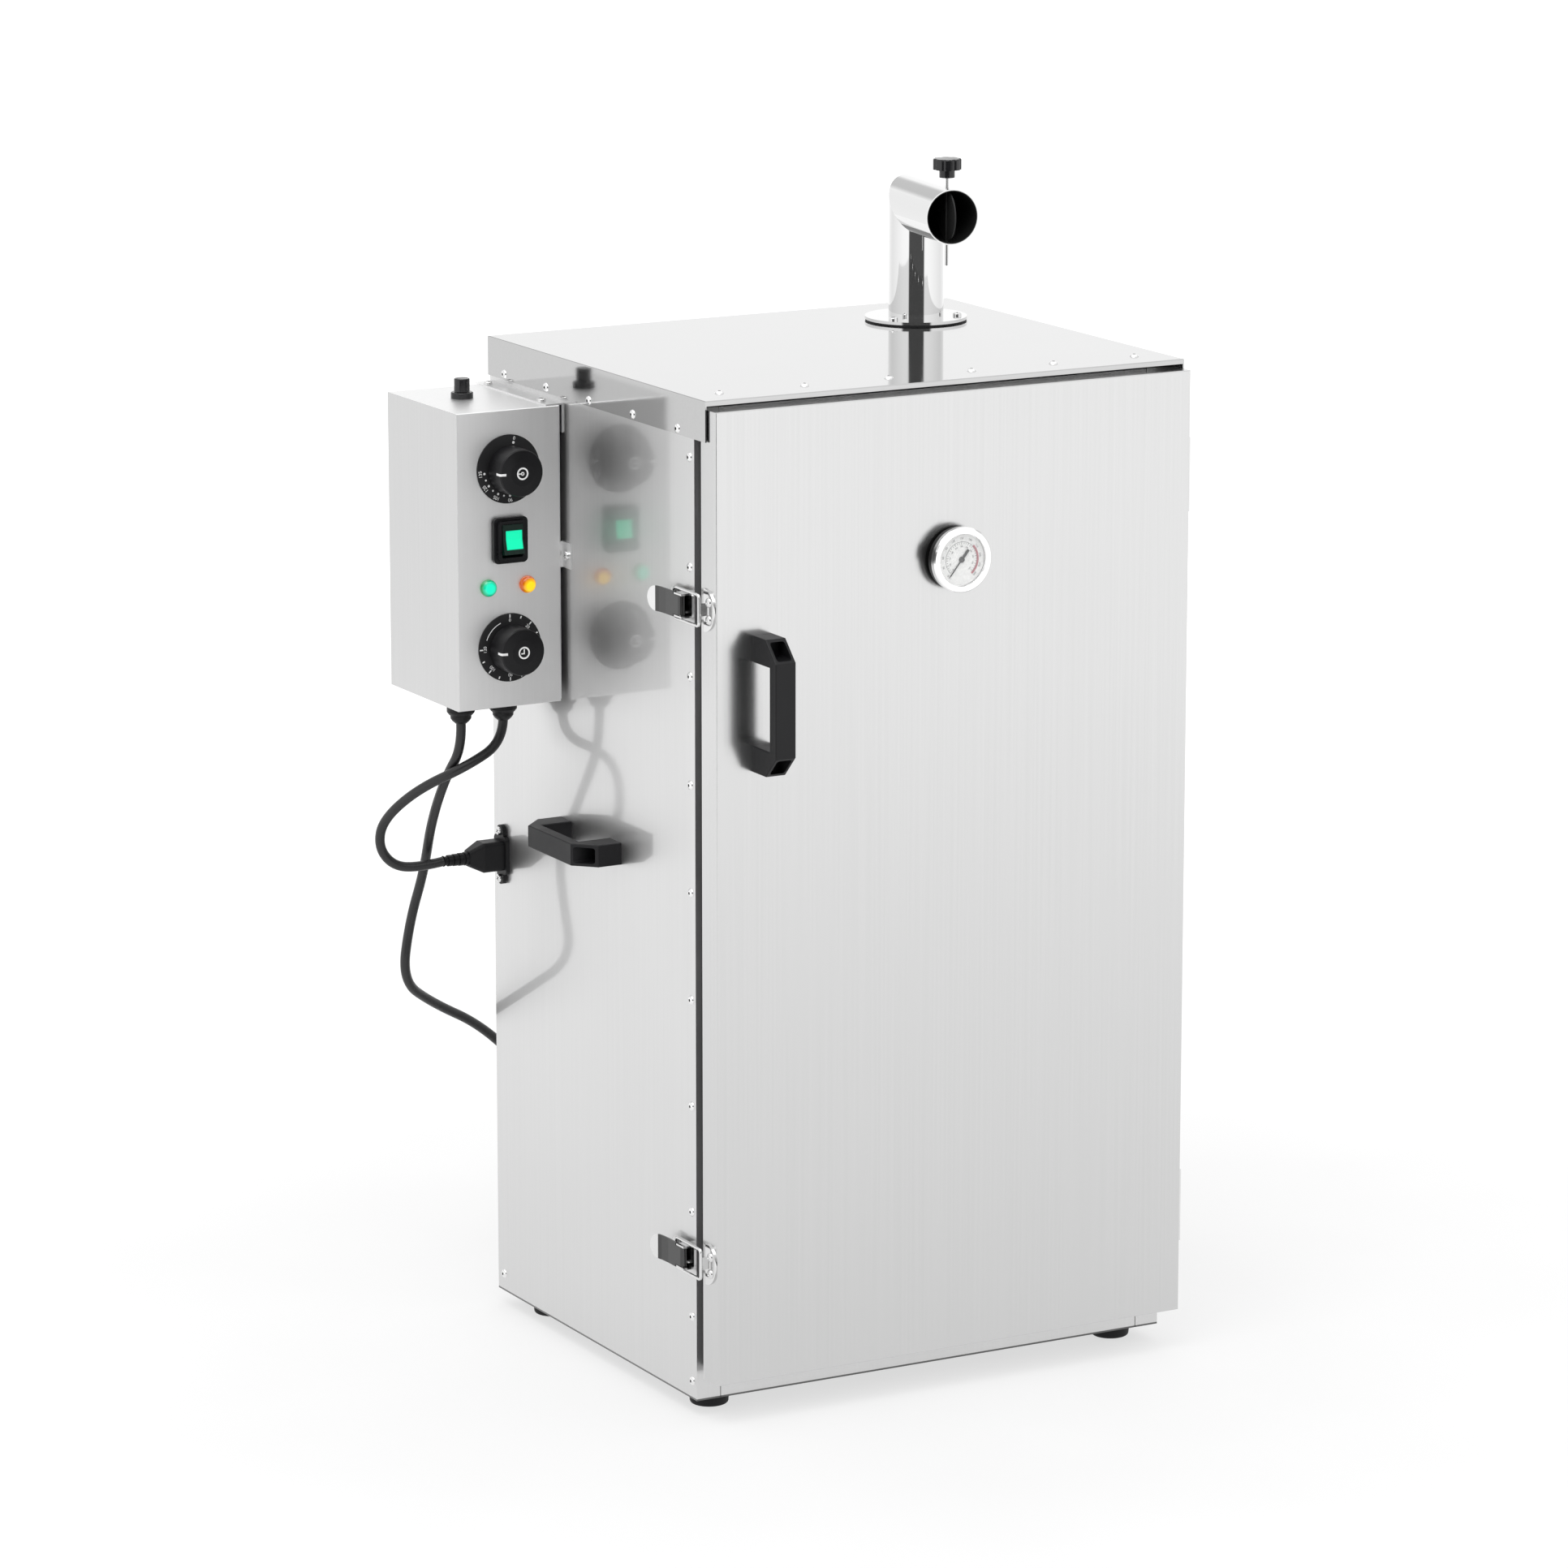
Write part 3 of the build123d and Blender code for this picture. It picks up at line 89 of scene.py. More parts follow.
COIL_TURNS = 4
COIL_STEPS = 16               # control points in each turn


def ramp(turn, start, end):
    """Goes smoothly from 0 to 1 between two places on the coil, counted in turns."""
    share = min(1.0, max(0.0, (turn - start) / (end - start)))
    return share * share * (3 - 2 * share)


def coil_points():
    """The turns lie in two columns and three layers, a diameter apart; each moves over or up
    where the turn beside it leaves room."""
    points = []
    for step in range(COIL_TURNS * COIL_STEPS + 1):
        turn = step / COIL_STEPS
        inward = ramp(turn, 0.80, 0.96) - ramp(turn, 2.42, 2.58)
        radius = COIL_OUTER + (COIL_INNER - COIL_OUTER) * inward
        layer = ramp(turn, 1.58, 1.78) + ramp(turn, 3.19, 3.36)
        angle = 2 * pi * turn - pi / 2
        points.append((
            COIL_MIDDLE[0] + radius * cos(angle),
            COIL_MIDDLE[1] + radius * sin(angle),
            CORD_R + CORD_DIAMETER * layer,
        ))
    return points


def cord_curve(name, points):
    """A smooth NURBS cord through its route's control points."""
    data = bpy.data.curves.new(name, "CURVE")
    data.dimensions = "3D"
    data.bevel_depth = 1.0        # times each point's own radius
    data.bevel_resolution = 6
    data.resolution_u = 12
    data.use_fill_caps = True
    spline = data.splines.new("NURBS")
    spline.points.add(len(points) - 1)
    for spot, place in zip(spline.points, points):
        spot.co = (*place, 1.0)
        spot.radius = CORD_R
    spline.order_u = 3
    spline.use_endpoint_u = True
    return link(bpy.data.objects.new(name, data))


plug_low, plug_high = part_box("mains_plug")
plug_start = (plug_low.x, (plug_low.y + plug_high.y) / 2, (plug_low.z + plug_high.z) / 2)
heater_cord = cord_curve("heater_lead_jacket", HEATER_ROUTE)
mains_cord = cord_curve("mains_cord_jacket", MAINS_ROUTE + coil_points() + [plug_start])
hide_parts("heater_lead")
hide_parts("mains_cord", "mains_coil")
for piece in (heater_cord, mains_cord):
    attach(piece, "cabinet")


# ---- materials -------------------------------------------------------------------------------
BORDER = 0.0002               # half the width over which two painted tones meet


class Look:
    """A material with a Principled shader and short ways to feed it."""

    def __init__(self, name, color, roughness, metallic=0.0):
        self.material = bpy.data.materials.new(name)
        self.material.use_nodes = True
        self.tree = self.material.node_tree
        self.shader = self.tree.nodes["Principled BSDF"]
        self.set("Base Color", (*color, 1.0))
        self.set("Roughness", roughness)
        self.set("Metallic", metallic)
        self.place = self.tree.nodes.new("ShaderNodeTexCoord").outputs["Object"]

    def set(self, socket, value):
        self.shader.inputs[socket].default_value = value

    def node(self, kind, **settings):
        made = self.tree.nodes.new(kind)
        for name, value in settings.items():
            setattr(made, name, value)
        return made

    def join(self, source, target):
        self.tree.links.new(source, target)

    def noise(self, scale, detail=3.0, stretch=(1, 1, 1), rough=0.5):
        """Noise in the object's own coordinates; stretch makes it finer along an axis."""
        mapping = self.node("ShaderNodeMapping")
        mapping.inputs["Scale"].default_value = [scale * s for s in stretch]
        self.join(self.place, mapping.inputs["Vector"])
        texture = self.node("ShaderNodeTexNoise")
        texture.inputs["Scale"].default_value = 1.0
        texture.inputs["Detail"].default_value = detail
        texture.inputs["Roughness"].default_value = rough
        self.join(mapping.outputs["Vector"], texture.inputs["Vector"])
        return texture.outputs["Fac"]

    def span(self, source, low, high, start=0.3, end=0.7):
        """Maps a source from start..end to low..high."""
        mapped = self.node("ShaderNodeMapRange")
        for name, value in (("From Min", start), ("From Max", end), ("To Min", low), ("To Max", high)):
            mapped.inputs[name].default_value = value
        self.join(source, mapped.inputs["Value"])
        return mapped.outputs["Result"]

    def step(self, axis, line):
        """0 before a place along one of the object's axes and 1 after it."""
        axes = self.node("ShaderNodeSeparateXYZ")
        self.join(self.place, axes.inputs[0])
        return self.span(axes.outputs[axis], 0.0, 1.0, line - BORDER, line + BORDER)

    def offset(self, point):
        """The vector from a point to the place being shaded."""
        away = self.node("ShaderNodeVectorMath", operation="SUBTRACT")
        self.join(self.place, away.inputs[0])
        away.inputs[1].default_value = point
        return away.outputs[0]

    def length(self, vector):
        measured = self.node("ShaderNodeVectorMath", operation="LENGTH")
        self.join(vector, measured.inputs[0])
        return measured.outputs["Value"]

    def vary_roughness(self, source, low, high):
        self.join(self.span(source, low, high), self.shader.inputs["Roughness"])

    def vary_color(self, source, dark, light, start=0.3, end=0.7):
        """Blends the base colour between two colours."""
        colors = self.node("ShaderNodeValToRGB")
        colors.color_ramp.elements[0].position = start
        colors.color_ramp.elements[1].position = end
        colors.color_ramp.elements[0].color = (*dark, 1)
        colors.color_ramp.elements[1].color = (*light, 1)
        self.join(source, colors.inputs["Fac"])
        self.join(colors.outputs["Color"], self.shader.inputs["Base Color"])

    def bump(self, source, distance, strength=1.0):
        """Adds relief on top of any relief set before."""
        relief = self.node("ShaderNodeBump")
        relief.inputs["Strength"].default_value = strength
        relief.inputs["Distance"].default_value = distance
        self.join(source, relief.inputs["Height"])
        before = self.shader.inputs["Normal"].links
        if before:
            self.join(before[0].from_socket, relief.inputs["Normal"])
        self.join(relief.outputs["Normal"], self.shader.inputs["Normal"])


def dress(material, *names):
    """Gives whole CAD nodes one material."""
    for name in names:
        nodes[name].data.materials.clear()
        nodes[name].data.materials.append(material)


def grey(value):
    return (value, value, value)


NEAR_BLACK = grey(0.008)
ALONG_X = (0.006, 1, 1)       # stretches of noise that make a grain along an axis
ALONG_Y = (1, 0.006, 1)
ALONG_Z = (1, 1, 0.006)


def brushed_steel(name, tone, roughness, grain=ALONG_Z, relief=0.00001, spread=0.05, sheen=0.0):
    """Sheet steel with a fine grain along one axis and faint mottling; sheen adds a second,
    sharper reflection over the soft one."""
    look = Look(name, grey(tone), roughness, metallic=1.0)
    fibre = look.noise(1400, detail=2.0, stretch=grain)
    cloud = look.noise(5, detail=3.0)
    look.vary_color(look.noise(500, detail=3.0, stretch=grain), grey(tone * 0.985), grey(tone * 1.01))
    mix = look.node("ShaderNodeMath", operation="ADD")
    look.join(look.span(fibre, -spread * 0.5, spread * 0.5), mix.inputs[0])
    look.join(look.span(cloud, roughness - spread, roughness + spread), mix.inputs[1])
    look.join(mix.outputs[0], look.shader.inputs["Roughness"])
    look.bump(fibre, relief)
    look.set("Coat Weight", sheen)
    look.set("Coat IOR", 2.0)
    look.set("Coat Roughness", 0.07)
    return look


def shadow_edge(look, height, tone):
    """Darkens the sheet's lower edge up to a height above the floor: painted shade where the shadow
    under the cabinet falls.
    """
    over = look.step("Z", height)
    blend = look.node("ShaderNodeMix", data_type="RGBA")
    blend.inputs[6].default_value = (*grey(tone), 1)
    look.join(look.shader.inputs["Base Color"].links[0].from_socket, blend.inputs[7])
    look.join(over, blend.inputs["Factor"])
    look.join(blend.outputs[2], look.shader.inputs["Base Color"])


door_steel = brushed_steel("door_steel", 0.62, 0.20, relief=0.000002, spread=0.03)
side_steel = brushed_steel("side_steel", 0.61, 0.38, relief=0.000002, sheen=1.0)
lid_steel = brushed_steel("lid_steel", 0.515, 0.08, grain=ALONG_X, relief=0.000001, spread=0.02)
box_steel = brushed_steel("box_steel", 0.60, 0.34, relief=0.000003)
box_face_painted_light_steel = brushed_steel("box_face_painted_light_steel", 0.86, 0.42, relief=0.000003)
bracket_steel = brushed_steel("box_bracket_steel", 0.84, 0.34, grain=ALONG_Y, relief=0.000002)
liner_steel = brushed_steel("liner_steel", 0.70, 0.22)
rack_steel = brushed_steel("rack_steel", 0.72, 0.20, grain=ALONG_Y, relief=0.000004)
tray_steel = brushed_steel("tray_steel", 0.62, 0.30, grain=ALONG_X)
PAINTED_SHADE_HEIGHT = 0.0145          # top of the painted shade under the cabinet's walls
PAINTED_SHADE_TONE = 0.02
shadow_edge(side_steel, PAINTED_SHADE_HEIGHT, PAINTED_SHADE_TONE)

dress(door_steel.material, "door_outer_skin")
dress(liner_steel.material, "door_inner_skin", "chamber_liner", "rack_rails")
dress(side_steel.material, "left_side_panel", "right_side_panel", "back_panel", "base_pan")
dress(lid_steel.material, "lid")
dress(box_steel.material, "control_box_shell")
dress(bracket_steel.material, "control_box_bracket")
dress(rack_steel.material, "rack_1", "rack_2", "rack_3")
dress(tray_steel.material, "drip_tray", "chip_tray")

# The box's front and top are a little brighter than its sides: painted light, a lighter copy of its
# steel standing in for the brighter reflections they catch.
FACING = 0.7                  # least share of a face's normal that points one way
shell = nodes["control_box_shell"].data
shell.materials.append(box_face_painted_light_steel.material)
for face in shell.polygons:
    if face.normal.y < -FACING or face.normal.z > FACING:
        face.material_index = 1


def polished(name, tone, roughness, specks=0.03):
    """Polished or plated metal with a few soft smears."""
    look = Look(name, grey(tone), roughness, metallic=1.0)
    smear = look.noise(60, detail=4.0, rough=0.6)
    look.vary_roughness(smear, max(0.01, roughness - specks), roughness + specks)
    look.vary_color(look.noise(25, detail=3.0), grey(tone * 0.94), grey(tone))
    look.bump(look.noise(35, detail=2.0), 0.00002)
    return look.material


SOOT_ROUGHNESS = 0.6


def sooty(name, tone, roughness, point, heading, radius):
    """Polished metal that is black with soot inside a tube of some radius about an axis."""
    look = Look(name, grey(tone), roughness, metallic=1.0)
    across = look.node("ShaderNodeVectorMath", operation="CROSS_PRODUCT")
    look.join(look.offset(point), across.inputs[0])
    across.inputs[1].default_value = heading
    away = look.length(across.outputs[0])
    clean = look.span(away, 0.0, 1.0, radius - BORDER, radius + BORDER)
    look.vary_color(clean, NEAR_BLACK, grey(tone), 0.0, 1.0)
    look.join(clean, look.shader.inputs["Metallic"])
    look.join(look.span(clean, SOOT_ROUGHNESS, roughness, 0.0, 1.0), look.shader.inputs["Roughness"])
    look.bump(look.noise(35, detail=2.0), 0.00002)
    return look.material


FLUE_INSIDE = 0.0218          # radius of the flue's bore
gasket_low, gasket_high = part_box("chimney_gasket")
outlet_low, outlet_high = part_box("chimney_outlet")
flue_axis = (gasket_low + gasket_high) / 2
rod_low, rod_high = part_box("damper_knob")
rod = (rod_low + rod_high) / 2
outlet_axis = Vector((flue_axis.x, flue_axis.y, (outlet_low.z + outlet_high.z) / 2))
heading = Vector((rod.x - flue_axis.x, rod.y - flue_axis.y, 0)).normalized()
pipe_steel = sooty("flue_polish", 0.70, 0.05, flue_axis, (0, 0, 1), FLUE_INSIDE)
outlet_steel = sooty("outlet_polish", 0.70, 0.05, outlet_axis, heading, FLUE_INSIDE)
rod_steel = sooty("damper_steel", 0.55, 0.18, outlet_axis, heading, FLUE_INSIDE)
nickel = polished("latch_nickel", 0.74, 0.12)

LEVER_TIP = 0.0095            # length of the bright rounded end of a latch lever
LEVER_TONE = grey(0.08)
LEVER_TIP_TONE = grey(0.74)
lever_nickel = Look("lever_nickel", LEVER_TONE, 0.16, metallic=1.0)
lever_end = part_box("latch_lever_upper")[1].y
tip = lever_nickel.step("Y", lever_end - LEVER_TIP)
lever_nickel.vary_color(tip, LEVER_TONE, LEVER_TIP_TONE, 0.0, 1.0)
lever_nickel.bump(lever_nickel.noise(35, detail=2.0), 0.00002)

rivet_steel = polished("rivet_steel", 0.86, 0.16)
screw_steel = polished("screw_steel", 0.74, 0.16)
hinge_steel = polished("hinge_steel", 0.76, 0.20)

BEZEL_DEPTH = 0.0055          # the chrome rim; the case behind it is drawn black and matt
BEZEL_TONE = grey(0.90)
bezel_chrome = Look("bezel_chrome", BEZEL_TONE, 0.06, metallic=1.0)
behind = bezel_chrome.step("Y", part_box("thermometer_case")[0].y + BEZEL_DEPTH)
bezel_chrome.vary_color(behind, BEZEL_TONE, NEAR_BLACK, 0.0, 1.0)
for socket, front, back in (("Roughness", 0.06, 0.35), ("Metallic", 1.0, 0.0)):
    value = bezel_chrome.span(behind, front, back, 0.0, 1.0)
    bezel_chrome.join(value, bezel_chrome.shader.inputs[socket])
bezel_chrome.bump(bezel_chrome.noise(35), 0.00001)

dress(pipe_steel, "chimney_pipe")
dress(outlet_steel, "chimney_outlet")
dress(nickel, "latch_bases", "latch_catches")
dress(lever_nickel.material, "latch_lever_upper", "latch_lever_lower")
dress(nickel, "latch_bail_upper", "latch_bail_lower")
dress(rivet_steel, "cabinet_rivets")
dress(screw_steel, "small_screws")
dress(rod_steel, "damper")
dress(bezel_chrome.material, "thermometer_case")
dress(hinge_steel, "hinge_cabinet_leaves", "hinge_door_leaves")

RIVET_APART = 0.008           # faces nearer than this belong to one rivet
BORE_R = 0.00125              # outer radius of the hollow in a rivet's head


def darken_bores(mesh, material):
    """Gives a material to the faces near the axis of every rivet in a mesh: painted shade in the hollows
    of the rivet heads.
    """
    mesh.materials.append(material)
    rivets = []
    for face in mesh.polygons:
        for rivet in rivets:
            if (rivet[0].center - face.center).length < RIVET_APART:
                rivet.append(face)
                break
        else:
            rivets.append([face])
    for rivet in rivets:
        spots = [mesh.vertices[n].co for face in rivet for n in face.vertices]
        low = Vector([min(spot[axis] for spot in spots) for axis in range(3)])
        high = Vector([max(spot[axis] for spot in spots) for axis in range(3)])
        thin = min(range(3), key=lambda axis: high[axis] - low[axis])
        for face in rivet:
            offset = face.center - (low + high) / 2
            offset[thin] = 0
            if offset.length < BORE_R:
                face.material_index = 1


# Painted shade: the hollows in the rivet heads are drawn black.
bore_painted_shade = Look("rivet_bore_black", grey(0.006), 0.6)
darken_bores(nodes["cabinet_rivets"].data, bore_painted_shade.material)


def plastic(name, tone, roughness, grain=0.00003, pitch=1600, coat=0.0, shine=0.25):
    """Moulded plastic with a fine even texture."""
    look = Look(name, tone, roughness)
    texture = look.noise(pitch, detail=2.0)
    broad = look.noise(40, detail=3.0)
    darker = [c * 0.8 for c in tone]
    look.vary_color(broad, darker, [min(1, c * 1.15) for c in tone])
    look.vary_roughness(broad, roughness - 0.05, roughness + 0.05)
    look.bump(texture, grain)
    look.set("Coat Weight", coat)
    look.set("Specular IOR Level", shine)
    return look.material


handle_black = plastic("handle_black", (0.009, 0.009, 0.010), 0.42)
knob_black = plastic("knob_black", (0.007, 0.007, 0.008), 0.36, grain=0.00001)
plate_black = plastic("dial_black", (0.016, 0.016, 0.017), 0.50, grain=0.00001)
switch_black = plastic("switch_black", (0.008, 0.008, 0.009), 0.30, grain=0.00001)
gland_black = plastic("gland_black", (0.009, 0.009, 0.010), 0.40)
foot_rubber = plastic("foot_rubber", (0.010, 0.010, 0.011), 0.60, grain=0.00004)
gasket_rubber = plastic("gasket_rubber", (0.05, 0.05, 0.052), 0.62)
casing_plastic = plastic("control_casing", (0.68, 0.66, 0.60), 0.35, shine=0.5)
works_black = plastic("plug_black", (0.014, 0.014, 0.015), 0.42)
gloss_black = plastic("gloss_black", (0.006, 0.006, 0.007), 0.20, grain=0.000004, shine=0.5)
dress(handle_black, "door_handle", "carry_handle_left", "carry_handle_right")
dress(knob_black, "thermostat_knob", "timer_knob")
dress(gloss_black, "damper_knob", "fuse_cap", "fuse_holder")
dress(plate_black, "dial_plates")
dress(switch_black, "switch_housing")
dress(gland_black, "cable_glands", "inlet_socket", "heater_connector")
dress(foot_rubber, "rubber_feet", "chimney_gasket")
dress(gasket_rubber, "door_gasket")
dress(casing_plastic, "thermostat_body", "timer_body")
dress(works_black, "mains_plug", "thermometer_needle")

cord_look = Look("cord_jacket", (0.012, 0.012, 0.013), 0.36)
cord_look.vary_roughness(cord_look.noise(120, detail=3.0), 0.30, 0.42)
cord_look.vary_color(cord_look.noise(60), (0.009, 0.009, 0.010), (0.017, 0.017, 0.018))
cord_look.bump(cord_look.noise(900, detail=2.0), 0.00002)
for piece in (heater_cord, mains_cord):
    piece.data.materials.append(cord_look.material)

wool = Look("mineral_wool", (0.72, 0.68, 0.55), 0.95)
FLATTENED = (1, 1, 0.2)
fibres = wool.noise(400, detail=6.0, stretch=FLATTENED)
wool.vary_color(fibres, (0.52, 0.48, 0.36), (0.80, 0.77, 0.66))
wool.bump(wool.noise(500, detail=5.0, stretch=FLATTENED), 0.001)
dress(wool.material, "wall_insulation", "door_insulation")

sheath = Look("element_sheath", (0.30, 0.27, 0.25), 0.35, metallic=1.0)
sheath.vary_color(sheath.noise(30, detail=4.0), (0.20, 0.16, 0.15), (0.42, 0.40, 0.42))
sheath.vary_roughness(sheath.noise(90), 0.28, 0.48)
dress(sheath.material, "heating_element")

glass = Look("gauge_glass", (0.97, 0.98, 0.98), 0.02)
glass.set("Alpha", 0.08)
glass.bump(glass.noise(40), 0.00001)
dress(glass.material, "thermometer_lens")


LAMP_REACH = 0.0075           # from the bright spot to the deepest colour


def lamp_lens(name, deep, bright, node, strength, shift=0.0):
    """A lit lens: bright in or beside its middle and deep towards its rim."""
    look = Look(name, deep, 0.12)
    low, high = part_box(node)
    centre = (low + high) / 2
    away = look.length(look.offset((centre.x + shift, low.y, centre.z - shift)))
    colors = look.node("ShaderNodeValToRGB")
    ramp_stops = colors.color_ramp.elements
    ramp_stops[0].position, ramp_stops[1].position = 0.45, 0.95
    ramp_stops[0].color, ramp_stops[1].color = (*bright, 1), (*deep, 1)
    look.join(look.span(away, 0.0, 1.0, 0.0, LAMP_REACH), colors.inputs["Fac"])
    look.join(colors.outputs["Color"], look.shader.inputs["Base Color"])
    look.join(colors.outputs["Color"], look.shader.inputs["Emission Color"])
    look.set("Emission Strength", strength)
    look.set("Coat Weight", 0.6)
    return look.material


green_lens = lamp_lens("green_lens", (0.0, 0.20, 0.05), (0.0, 0.80, 0.50), "green_lamp", 0.45)
amber_lens = lamp_lens("amber_lens", (0.42, 0.07, 0.0), (1.0, 0.60, 0.0), "amber_lamp", 0.6, 0.0012)
dress(green_lens, "green_lamp")
dress(amber_lens, "amber_lamp")

WINDOW_X = (0.0008, 0.0071)   # middle's shift and half size of the rocker's lit window
WINDOW_Z = (0.0, 0.0074)
WINDOW_EDGE = 0.0004
ROCKER_GLOW = 0.55
rocker_low, rocker_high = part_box("rocker")
rocker_middle = (rocker_low + rocker_high) / 2
rocker_look = Look("rocker_green", (0.0, 0.035, 0.018), 0.10)
axes = rocker_look.node("ShaderNodeSeparateXYZ")
rocker_look.join(rocker_look.place, axes.inputs[0])


def window(axis, middle, half):
    """1 inside a band along an axis of the rocker, 0 outside it."""
    away = rocker_look.node("ShaderNodeMath", operation="SUBTRACT")
    rocker_look.join(axes.outputs[axis], away.inputs[0])
    away.inputs[1].default_value = middle
    size = rocker_look.node("ShaderNodeMath", operation="ABSOLUTE")
    rocker_look.join(away.outputs[0], size.inputs[0])
    return rocker_look.span(size.outputs[0], 1.0, 0.0, half - WINDOW_EDGE, half + WINDOW_EDGE)


lit = rocker_look.node("ShaderNodeMath", operation="MULTIPLY")
rocker_look.join(window("X", rocker_middle.x + WINDOW_X[0], WINDOW_X[1]), lit.inputs[0])
rocker_look.join(window("Z", rocker_middle.z + WINDOW_Z[0], WINDOW_Z[1]), lit.inputs[1])
rocker_look.vary_color(lit.outputs[0], (0.0, 0.014, 0.008), (0.0, 0.62, 0.30), 0.0, 1.0)
glow = rocker_look.node("ShaderNodeMath", operation="MULTIPLY")
glow.inputs[1].default_value = ROCKER_GLOW
rocker_look.join(lit.outputs[0], glow.inputs[0])
rocker_look.join(glow.outputs[0], rocker_look.shader.inputs["Emission Strength"])
rocker_look.set("Emission Color", (0.0, 0.9, 0.5, 1))
rocker_look.set("Coat Weight", 0.8)
dress(rocker_look.material, "rocker")


# ---- printed marks -------------------------------------------------------------------------------
PRINT = 0.00012               # thickness of printed marks


class Marks:
    """Flat marks printed on one plane, gathered in one mesh."""

    def __init__(self, origin, right=(1, 0, 0), up=(0, 0, 1)):
        out = Vector(right).cross(Vector(up))
        self.base = Matrix.Translation(origin) @ Matrix((right, up, out)).transposed().to_4x4()
        self.mesh = bmesh.new()

    def area(self, corners, turn=0.0):
        """A filled outline in metres on the plane."""
        spin = Matrix.Rotation(turn, 4, "Z")
        for side, lift in ((1, PRINT), (-1, 0.0)):
            spots = [self.base @ spin @ Vector((x, y, lift)) for x, y in corners]
            self.mesh.faces.new([self.mesh.verts.new(s) for s in spots[::side]])

    def bar(self, radius, length, width, angle):
        """A stroke that points away from the middle."""
        low, high = radius - length / 2, radius + length / 2
        half = width / 2
        self.area([(low, -half), (high, -half), (high, half), (low, half)], angle)

    def stroke(self, outline, half):
        """A strip pointing left that follows an outline of (distance, depth) points."""
        for lift, side in ((PRINT, 1), (0.0, -1)):
            for (near, shallow), (far, deep) in zip(outline[:-1], outline[1:]):
                ends = [
                    (near, shallow, half), (near, shallow, -half), (far, deep, -half), (far, deep, half),
                ]
                spots = [self.base @ Vector((-x - lift, y, lift - z)) for x, z, y in ends[::side]]
                self.mesh.faces.new([self.mesh.verts.new(spot) for spot in spots])

    def dot(self, radius, size, angle):
        corners = [(radius + size * cos(t), size * sin(t)) for t in [2 * pi * n / 16 for n in range(16)]]
        self.area(corners, angle)

    def arc(self, inner, outer, start, end, steps=48):
        """A ring or part of a ring, made of short quads."""
        for n in range(steps):
            a = start + (end - start) * n / steps
            b = start + (end - start) * (n + 1) / steps
            ring = [(inner, a), (outer, a), (outer, b), (inner, b)]
            self.area([(r * cos(t), r * sin(t)) for r, t in ring])

    def text(self, words, size, radius, angle, turn=None):
        """A number whose middle is at a radius and angle; turn is its own rotation."""
        data = bpy.data.curves.new("number", "FONT")
        data.body = words
        data.size = size
        data.align_x = "CENTER"
        data.align_y = "CENTER"
        data.extrude = PRINT / 2
        letter = link(bpy.data.objects.new("number", data))
        mesh = bpy.data.meshes.new_from_object(letter)
        spin = Matrix.Rotation(angle - pi / 2 if turn is None else turn, 4, "Z")
        place = Matrix.Translation((radius * cos(angle), radius * sin(angle), PRINT / 2))
        mesh.transform(self.base @ place @ spin)
        self.mesh.from_mesh(mesh)
        bpy.data.objects.remove(letter)
        bpy.data.meshes.remove(mesh)

    def finish(self, name, body, material):
        data = bpy.data.meshes.new(name)
        self.mesh.to_mesh(data)
        self.mesh.free()
        data.materials.append(material)
        piece = link(bpy.data.objects.new(name, data))
        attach(piece, body)
        return piece


def ink(name, tone, rough=0.5):
    """Printed ink, slightly uneven."""
    look = Look(name, tone, rough)
    look.vary_color(look.noise(700, detail=2.0), [c * 0.86 for c in tone], tone)
    look.bump(look.noise(2500), 0.000005)
    return look.material


white_ink = ink("white_ink", (0.88, 0.88, 0.88))
red_ink = ink("red_ink", (0.52, 0.19, 0.22))
grey_ink = ink("grey_ink", (0.22, 0.22, 0.23))
gauge_paper = ink("gauge_paper", (0.90, 0.90, 0.89), 0.6)

plates_low, plates_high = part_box("dial_plates")
dial_x = (plates_low.x + plates_high.x) / 2
plate_r = (plates_high.x - plates_low.x) / 2
thermostat_z = plates_high.z - plate_r
timer_z = plates_low.z + plate_r
plate_front = plates_low.y

thermostat = Marks((dial_x, plate_front, thermostat_z))
SCALE_END = 186.0             # degrees; the highest temperature, left of the knob
SCALE_STEP = 14.5
DOTS_R = 0.0215
NUMBERS_R = 0.0249
NUMBER_SIZE = 0.0040
OFF_ANGLE = radians(78)
for n in range(14):
    angle = radians(SCALE_END + SCALE_STEP * n)
    numbered = n % 2 == 0
    thermostat.dot(DOTS_R, 0.0010 if numbered else 0.0008, angle)
    if numbered:
        thermostat.text(str(135 - 15 * n // 2), NUMBER_SIZE, NUMBERS_R, angle)
thermostat.dot(DOTS_R, 0.0011, OFF_ANGLE)
thermostat.text("0", NUMBER_SIZE, NUMBERS_R, OFF_ANGLE)
thermostat.finish("thermostat_marks", "cabinet", white_ink)

timer = Marks((dial_x, plate_front, timer_z))
TIMER_STEP = 22.5
BARS_R = 0.0256
HOURS_R = 0.0221
HOURS_SIZE = 0.0038
for n in range(13):
    angle = radians(90 - TIMER_STEP * n)
    numbered = n % 2 == 0
    timer.bar(BARS_R, 0.0028 if numbered else 0.0022, 0.0011, angle)
    if numbered:
        timer.text(str(10 * n), HOURS_SIZE, HOURS_R, angle)
timer.arc(0.0217, 0.0224, radians(112), radians(160), 16)
timer.finish("timer_marks", "cabinet", white_ink)


# The pointer follows the knob's outline: distance left of the axis, and depth behind the face.
POINTER_HALF = 0.00095
POINTER = [(0.0140, 0.0008), (0.0182, 0.0013), (0.0189, 0.0019), (0.0192, 0.0030), (0.0192, 0.0078)]


